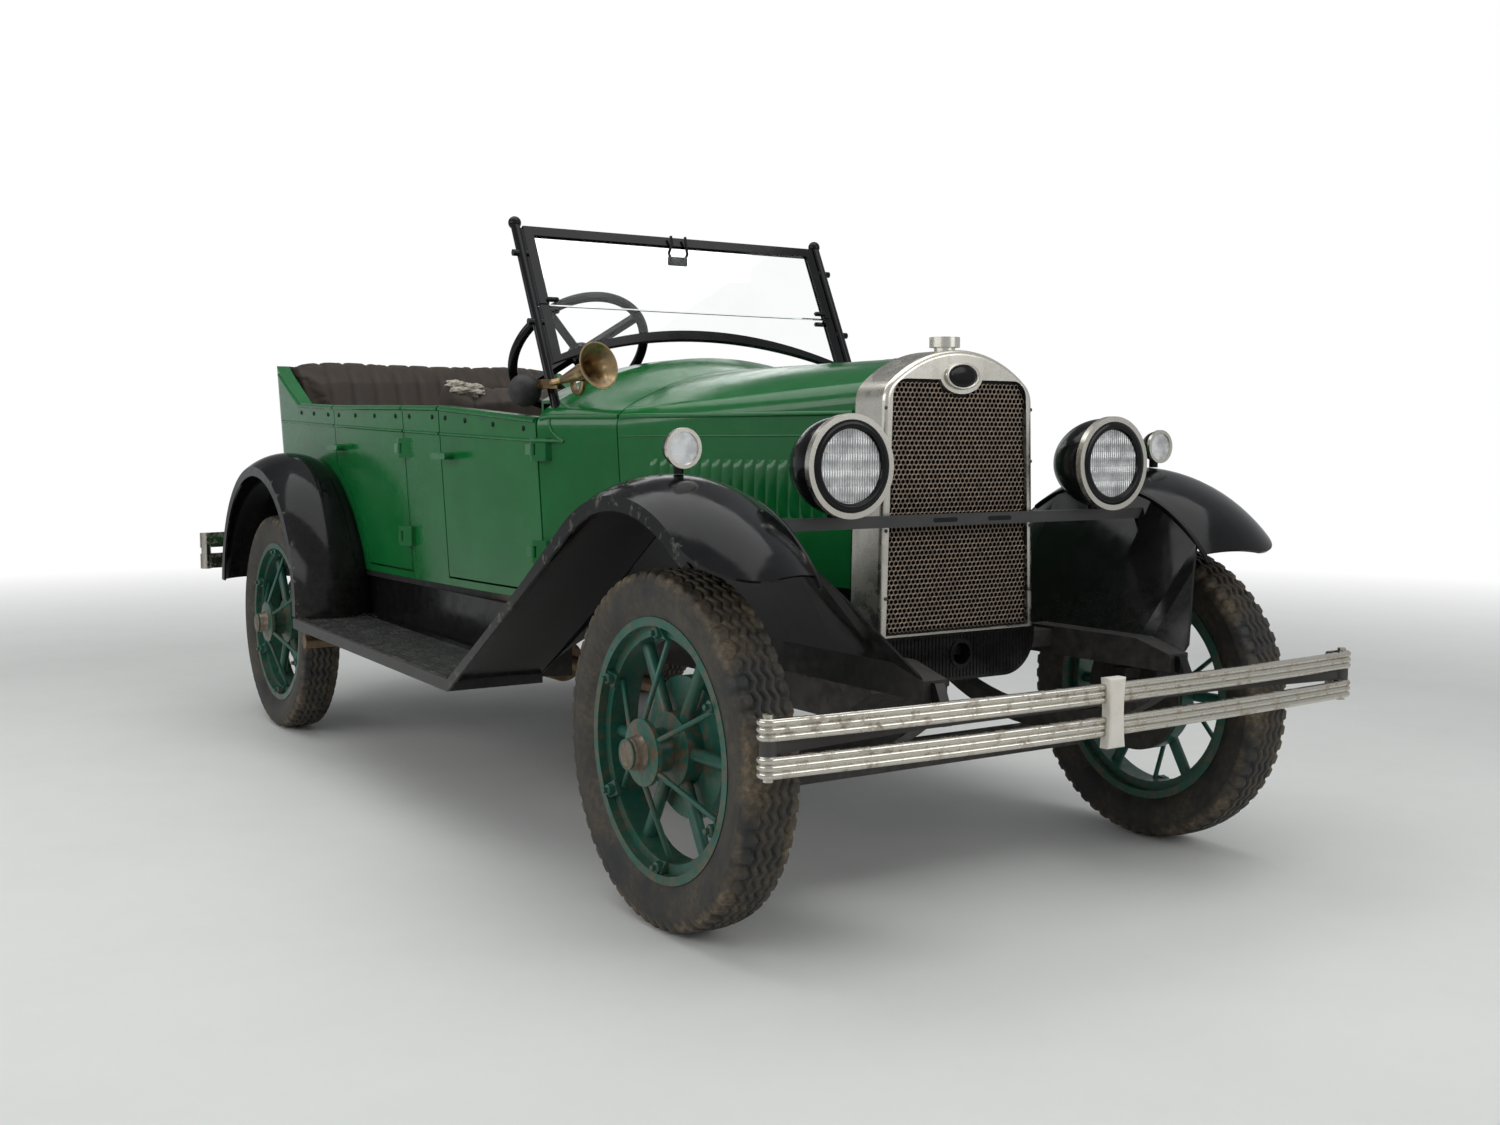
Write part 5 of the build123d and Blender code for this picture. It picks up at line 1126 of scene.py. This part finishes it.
def add_clamp(bm, centre, turn, side):
    """One wedge and bolt at an angle on the wheel's outer face."""
    radial = Vector((math.cos(turn), 0, math.sin(turn)))
    tangent = Vector((-math.sin(turn), 0, math.cos(turn)))
    out = Vector((0, side, 0))
    rows = []
    for reach, half, low, high in wedge_rows:
        middle = centre + radial * reach
        corners = ((-half, low), (-half, high), (half, high), (half, low))
        rows.append([bm.verts.new(middle + tangent * t + out * o) for t, o in corners])
    for a, b in zip(rows, rows[1:]):
        for step in range(4):
            following = (step + 1) % 4
            bm.faces.new((a[step], a[following], b[following], b[step]))
    bm.faces.new(rows[0])
    bm.faces.new(list(reversed(rows[-1])))
    spot = centre + radial * bolt_reach
    turned(bm, spot, out, bolt_outline, 6)
    turned(bm, spot, out, stud_end_outline, 12)


for place, side in wheels:
    low, high = box_of(f"tyre_{place}")
    bm = bmesh.new()
    for number in range(clamp_count):
        turn = math.pi / 6 + 2 * math.pi * number / clamp_count
        add_clamp(bm, (low + high) / 2, turn, side)
    bmesh_piece(f"rim_clamps_{place}", bm, "wheel_green", f"wheel_{place}", smooth=False)
print("clamps on each wheel:", clamp_count)

# %% Rusty hub caps
cap_outline = [
    (0.0385, 0.0845), (0.0385, 0.090), (0.0345, 0.0925), (0.0335, 0.108),
    (0.0315, 0.1150), (0.026, 0.1190), (0.010, 0.1205),
]
for place, side in wheels:
    low, high = box_of(f"tyre_{place}")
    turned_piece(
        f"hub_cap_{place}", (low + high) / 2, (0, side, 0), cap_outline, 36, (False, True),
        "wheel_green", f"wheel_{place}", rusty_cap,
    )
print("hub caps:", len(wheels))

# %% [markdown]
# ## Seats
# The seats are stuffed hide sewn into pleats. Each starts from its solid, remeshed evenly and
# blown up a little with Blender's cloth, so the sides bulge as stuffing does. The pleats come
# afterwards, because remeshing would wipe out seams: points near a seam are drawn in.

# %% Even mesh and cloth
seat_voxel = 0.010
seat_shrink = (0.975, 0.985, 0.975, 1.0)
stuffing_pressure = 4.0
stuffing_frames = 15


def even_copy(node):
    """A slightly smaller copy of a solid with an even mesh."""
    source = nodes[node].data.copy()
    piece = bpy.data.objects.new(f"stuffed_{node}", source)
    scene.collection.objects.link(piece)
    low, high = box_of(node)
    there, back = Matrix.Translation((low + high) / 2), Matrix.Translation(-(low + high) / 2)
    source.transform(there @ Matrix.Diagonal(seat_shrink) @ back)
    remesh = piece.modifiers.new("Even mesh", "REMESH")
    remesh.mode = "VOXEL"
    remesh.voxel_size = seat_voxel
    bpy.context.view_layer.update()
    depsgraph = bpy.context.evaluated_depsgraph_get()
    even = bpy.data.meshes.new_from_object(piece.evaluated_get(depsgraph))
    piece.modifiers.clear()
    piece.data = even
    bpy.data.meshes.remove(source)
    return piece


def vertex_rows(mesh, label):
    """The place or the normal of each vertex, one per row."""
    values = np.empty(len(mesh.vertices) * 3)
    mesh.vertices.foreach_get(label, values)
    return values.reshape(-1, 3)


def blown_up(piece):
    """Where the pressure of the stuffing moves a piece's vertices."""
    cloth = piece.modifiers.new("Stuffing", "CLOTH")
    cloth.settings.use_pressure = True
    cloth.settings.uniform_pressure_force = stuffing_pressure
    cloth.settings.effector_weights.gravity = 0.0
    cloth.settings.quality = 4
    for number in range(1, stuffing_frames + 1):
        scene.frame_set(number)
    depsgraph = bpy.context.evaluated_depsgraph_get()
    moved = vertex_rows(piece.evaluated_get(depsgraph).to_mesh(), "co")
    piece.modifiers.clear()
    scene.frame_set(1)
    return moved


print("seat mesh step:", seat_voxel)

# %% Pleats
most_swell = 0.022
seam_half, seam_depth, seam_power = 0.016, 0.010, 1.5
plain_base = 0.03
room_below, room_above, lift_off = 0.006, 0.012, 0.0005
front_pleat, rear_pleat = 0.084, 0.0875


def stuffed(node, pleat):
    """A padded copy of a solid with pleats that run fore and aft or up and down."""
    piece = even_copy(node)
    even = piece.data
    low, high = box_of(node)
    start = vertex_rows(even, "co")
    shift = blown_up(piece) - start
    length = np.linalg.norm(shift, axis=1, keepdims=True)
    placed = start + shift * np.minimum(1.0, most_swell / np.maximum(length, 1e-9))
    normals = vertex_rows(even, "normal")
    facing = np.clip(np.maximum(normals[:, 2], np.abs(normals[:, 0])), 0, 1)
    across_seat = (placed[:, 1] - (low.y + high.y) / 2) / pleat
    from_seam = np.abs(across_seat - np.round(across_seat)) * pleat
    groove = np.clip(1.0 - from_seam / seam_half, 0, 1) ** seam_power * seam_depth
    upright = np.clip((placed[:, 2] - low.z - plain_base) / plain_base, 0, 1)
    placed -= normals * (groove * facing * upright)[:, None]
    placed = np.clip(placed, np.array(low) - room_below, np.array(high) + room_above)
    placed[:, 2] = np.maximum(placed[:, 2], low.z + lift_off)
    even.vertices.foreach_set("co", placed.ravel())
    smooth_faces(even)
    even.materials.clear()
    even.materials.append(finish["brown_hide"])
    even.update()
    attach(piece, "chassis")
    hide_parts(node)
    return piece


seats = {}
for part_name in ("cushion", "seat_back"):
    for row_name, pleat in (("front", front_pleat), ("rear", rear_pleat)):
        node = f"{row_name}_{part_name}"
        seats[node] = stuffed(node, pleat)
        print(seats[node].name, "vertices:", len(seats[node].data.vertices))

# %% Torn stuffing
lump_count = 34
lump_size, size_spread = 0.0085, 0.0045
noise_scale, noise_share = 140, 0.8
tear_x, tear_y, tear_run, tear_front = along(-1.775), -0.435, 0.075, 0.35
wander_x, wander_y = 0.006, 0.030
lump_stretch = Vector((1.3, 1.9, 0.8))
lump_lift = Vector((0, 0, 0.003))
bpy.context.view_layer.update()
bm = bmesh.new()
for number in range(lump_count):
    share = number / (lump_count - 1)
    y = tear_y - wander_y * math.sin(2.4 * number)
    x = tear_x + tear_run * (share - tear_front) + wander_x * math.cos(5.1 * number)
    _, spot, _, _ = seats["front_seat_back"].ray_cast(Vector((x, y, 2.0)), Vector((0, 0, -1)))
    size = lump_size + size_spread * math.sin(1.7 * number)
    for vert in bmesh.ops.create_icosphere(bm, subdivisions=3, radius=size)["verts"]:
        wave = noise_at(vert.co * noise_scale + Vector((number * 3.1, 0, 0)))
        vert.co = vert.co * (1.0 + noise_share * wave) * lump_stretch + spot + lump_lift
tuft = bmesh_piece("torn_stuffing", bm, "brown_hide", material=stuffing)
print("stuffing lumps:", lump_count)

# %% [markdown]
# ## Screen fittings, horn coil and dash dials
# An empty mirror bracket hangs from the screen's top rail: two bent hooks and a small plate.
# Small clips hold the panes where they meet, and the horn's tube makes one turn below its bell.
# Inside, a plate in the dash carries three round dials with plated rims and blank faces.

# %% Bracket
rail = Vector((along(-1.2165), 0.0, 1.586))
hook_y, hook_radius = 0.024, 0.0042
# Each point of a hook: forward, share of the hook's Y, and up from the rail.
hook_line = ((0.016, 1.0, 0.020), (0.022, 1.0, -0.004), (0.016, 1.3, -0.030), (0.012, 0.9, -0.050))
for number, y in enumerate((-hook_y, hook_y)):
    hook = [rail + Vector((dx, y * share, dz)) for dx, share, dz in hook_line]
    bead(f"bracket_hook_{number}", hook, hook_radius, "black_paint")
plate_size, plate_rounding = (0.006, 0.066, 0.026), 0.0022
plate_place = rail + Vector((0.012, 0, -0.052))
block_piece("bracket_plate", plate_size, plate_place, "black_paint", plate_rounding)
print("bracket on the rail at z =", round(rail.z, 3))

# %% Screen clips and horn coil
clip_size, clip_rounding = (0.020, 0.034, 0.013), 0.003
clip_station, clip_y, clip_z = -1.1135, 0.447, 1.379
for side_name, side in sides:
    for label, lift in (("upper", 0.017), ("lower", -0.015)):
        name = f"screen_clip_{label}_{side_name}"
        place = (along(clip_station), side * clip_y, clip_z + lift)
        block_piece(name, clip_size, place, "black_paint", clip_rounding)
coil_points, coil_radius = 25, 0.0085
coil_x, coil_y, coil_z = 0.036, 0.006, 0.030
bell_low, bell_high = box_of("horn_bell")
coil_middle = Vector((bell_low.x + 0.105, (bell_low.y + bell_high.y) / 2, bell_low.z + 0.022))
coil = []
for step in range(coil_points):
    turn = 2 * math.pi * step / (coil_points - 1)
    arm = (coil_x * math.cos(turn), coil_y * math.sin(turn / 2), coil_z * math.sin(turn))
    coil.append(coil_middle + Vector(arm))
bead("horn_coil", coil, coil_radius, "brass_horn")
print("clips and coil fitted")

# %% Dials
dash_z = 1.125
plate_outline = [(0.150, -0.002), (0.150, 0.003), (0.146, 0.005), (0.05, 0.0055)]
hub_outline = [(0.0035, 0.0064), (0.0035, 0.0085), (0.002, 0.0092)]
needle_lift, needle_half = 0.0078, 0.0012
dash_start = Vector((along(-1.6), 0.0, dash_z))
_, dash_spot, _, _ = nodes["cowl"].ray_cast(dash_start, Vector((1, 0, 0)))
dash_x = dash_spot.x
turned_piece(
    "dial_plate", (dash_x, 0, dash_z), (-1, 0, 0), plate_outline, 64, (True, True),
    "black_paint", squash=0.36,
)
rims, dial_faces, needles = bmesh.new(), bmesh.new(), bmesh.new()
for y, radius in ((-0.085, 0.028), (0.0, 0.040), (0.085, 0.028)):
    centre = (dash_x, y, dash_z)
    rim_outline = [
        (radius, 0.004), (radius, 0.011), (radius - 0.002, 0.0135),
        (radius - 0.005, 0.011), (radius - 0.0055, 0.007),
    ]
    turned(rims, centre, (-1, 0, 0), rim_outline, 40, False, False)
    face_outline = [(radius - 0.005, 0.0062), (0.004, 0.0064)]
    turned(dial_faces, centre, (-1, 0, 0), face_outline, 40, False, True)
    turned(needles, centre, (-1, 0, 0), hub_outline, 16)
    tip = ((-needle_half, 0.0), (needle_half, 0.0), (radius * 0.45, radius * 0.5))
    needle_x = dash_x - needle_lift
    needles.faces.new([needles.verts.new((needle_x, y + dy, dash_z + dz)) for dy, dz in tip])
bmesh_piece("dial_rims", rims, "nickel")
bmesh_piece("dial_faces", dial_faces, "cream_paint")
bmesh_piece("dial_needles", needles, "black_paint", smooth=False)
print("dash face at", round(dash_x, 4))

# %% [markdown]
# ## Studio
# A pale floor, a white backdrop from the world, and large soft lamps above, in front, behind
# and to the right. Gloss paint shows its shape by what it mirrors, so the lamps are long
# strips. The world is dimmer high up behind the car: the bonnet mirrors that part at a flat
# angle, and a bright backdrop there would wash its green out. A darker paint would not cure that.

# %% Floor
def seen_directly(tree):
    """1 for what the camera sees straight or through glass, else 0."""
    rays = tree.nodes.new("ShaderNodeLightPath").outputs
    return math_node(tree, "MAXIMUM", rays["Is Camera Ray"], rays["Is Transmission Ray"])


def mix_shaders(tree, mask, first, second, output):
    """Feeds an output node with two shaders mixed by a mask."""
    join = tree.nodes.new("ShaderNodeMixShader")
    tree.links.new(mask, join.inputs["Fac"])
    tree.links.new(first.outputs[0], join.inputs[1])
    tree.links.new(second.outputs[0], join.inputs[2])
    tree.links.new(join.outputs[0], tree.nodes[output].inputs["Surface"])


floor_half = 30
fade_band = (3.5, 8.5)
floor_material, tree, shader, _ = blotchy(
    "Pale floor", (0.79, 0.80, 0.77), (0.73, 0.74, 0.71), (0.45, 0.6), (1.2, 0.4, 0.4), IOR=1.45
)
floor_place = tree.nodes.new("ShaderNodeTexCoord")
from_middle = tree.nodes.new("ShaderNodeVectorMath")
from_middle.operation = "LENGTH"
tree.links.new(floor_place.outputs["Object"], from_middle.inputs[0])
fade = ramp_between(tree, from_middle.outputs["Value"], *fade_band)
glow = tree.nodes.new("ShaderNodeEmission")
glow.inputs["Strength"].default_value = 1.0
mix_shaders(tree, times(tree, fade, seen_directly(tree)), shader, glow, "Material Output")
corners = [(x * floor_half, y * floor_half, 0) for x, y in ((-1, -1), (1, -1), (1, 1), (-1, 1))]
floor_mesh = bpy.data.meshes.new("Studio floor")
floor_mesh.from_pydata(corners, [], [(0, 1, 2, 3)])
floor_mesh.materials.append(floor_material)
studio_floor = bpy.data.objects.new("studio_floor", floor_mesh)
scene.collection.objects.link(studio_floor)
studio_floor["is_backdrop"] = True
print("floor fades to white over", fade_band, "m from the middle")

# %% World
world_strength, back_dimming = 0.52, 0.36
behind_band, above_band = (-0.75, -0.35), (0.08, 0.3)
world = bpy.data.worlds.new("White studio")
scene.world = world
world.use_nodes = True
tree = world.node_tree
light = tree.nodes["Background"]
light.inputs["Color"].default_value = (0.95, 0.97, 1.0, 1.0)
behind = ramp_between(tree, axis_value(tree, "X", "Generated"), *behind_band, 1.0, 0.0)
above = ramp_between(tree, axis_value(tree, "Z", "Generated"), *above_band)
dimmed = math_node(tree, "SUBTRACT", world_strength, times(tree, behind, above, back_dimming))
tree.links.new(dimmed, light.inputs["Strength"])
white = tree.nodes.new("ShaderNodeBackground")
white.inputs["Color"].default_value = (1.0, 1.0, 1.0, 1.0)
white.inputs["Strength"].default_value = 1.0
mix_shaders(tree, seen_directly(tree), light, white, "World Output")
print("world strength:", world_strength)


# %% Lamps
def soft_lamp(name, place, target, size, power):
    """A large rectangular lamp that faces a point."""
    lamp = bpy.data.lights.new(name, "AREA")
    lamp.shape = "RECTANGLE"
    lamp.size, lamp.size_y = size
    lamp.energy = power
    holder = bpy.data.objects.new(name, lamp)
    holder.location = place
    way = Vector(target) - Vector(place)
    holder.rotation_euler = way.to_track_quat("-Z", "Y").to_euler()
    scene.collection.objects.link(holder)
    print("lamp", name, "with", power, "W")


soft_lamp("ceiling", (0.3, -0.4, 4.2), (0, 0, 0.5), (6.0, 3.0), 95)
soft_lamp("right_strip", (0.6, -5.0, 2.6), (0.2, 0, 0.7), (6.0, 1.6), 70)
soft_lamp("front_strip", (5.5, 1.8, 2.6), (0.8, 0, 0.7), (3.0, 2.0), 42)
soft_lamp("rear_fill", (-5.0, 2.0, 3.0), (-0.5, 0, 0.6), (3.0, 2.0), 12)

# %% Camera
focal_pixels, photo_pixels, sensor_mm = 1539.33, 1500, 36.0
view_way = Vector((-0.83599, 0.54300, -0.07917))
camera = bpy.data.cameras.new("Photo view")
camera.sensor_width = sensor_mm
camera.sensor_fit = "HORIZONTAL"
camera.lens = focal_pixels / photo_pixels * sensor_mm
camera.dof.use_dof = False
viewer = bpy.data.objects.new("Photo view", camera)
viewer.location = (4.2212, -2.3038, 1.0141)
viewer.rotation_euler = view_way.to_track_quat("-Z", "Y").to_euler()
scene.collection.objects.link(viewer)
scene.camera = viewer
scene.view_settings.view_transform = "Standard"
print("camera at", [round(v, 3) for v in viewer.location])

# %% Sizes and the end
visual_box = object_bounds()
for label, corners in (("cad box", cad_box), ("visual box", visual_box)):
    print(label, [[round(v, 3) for v in corner] for corner in corners])
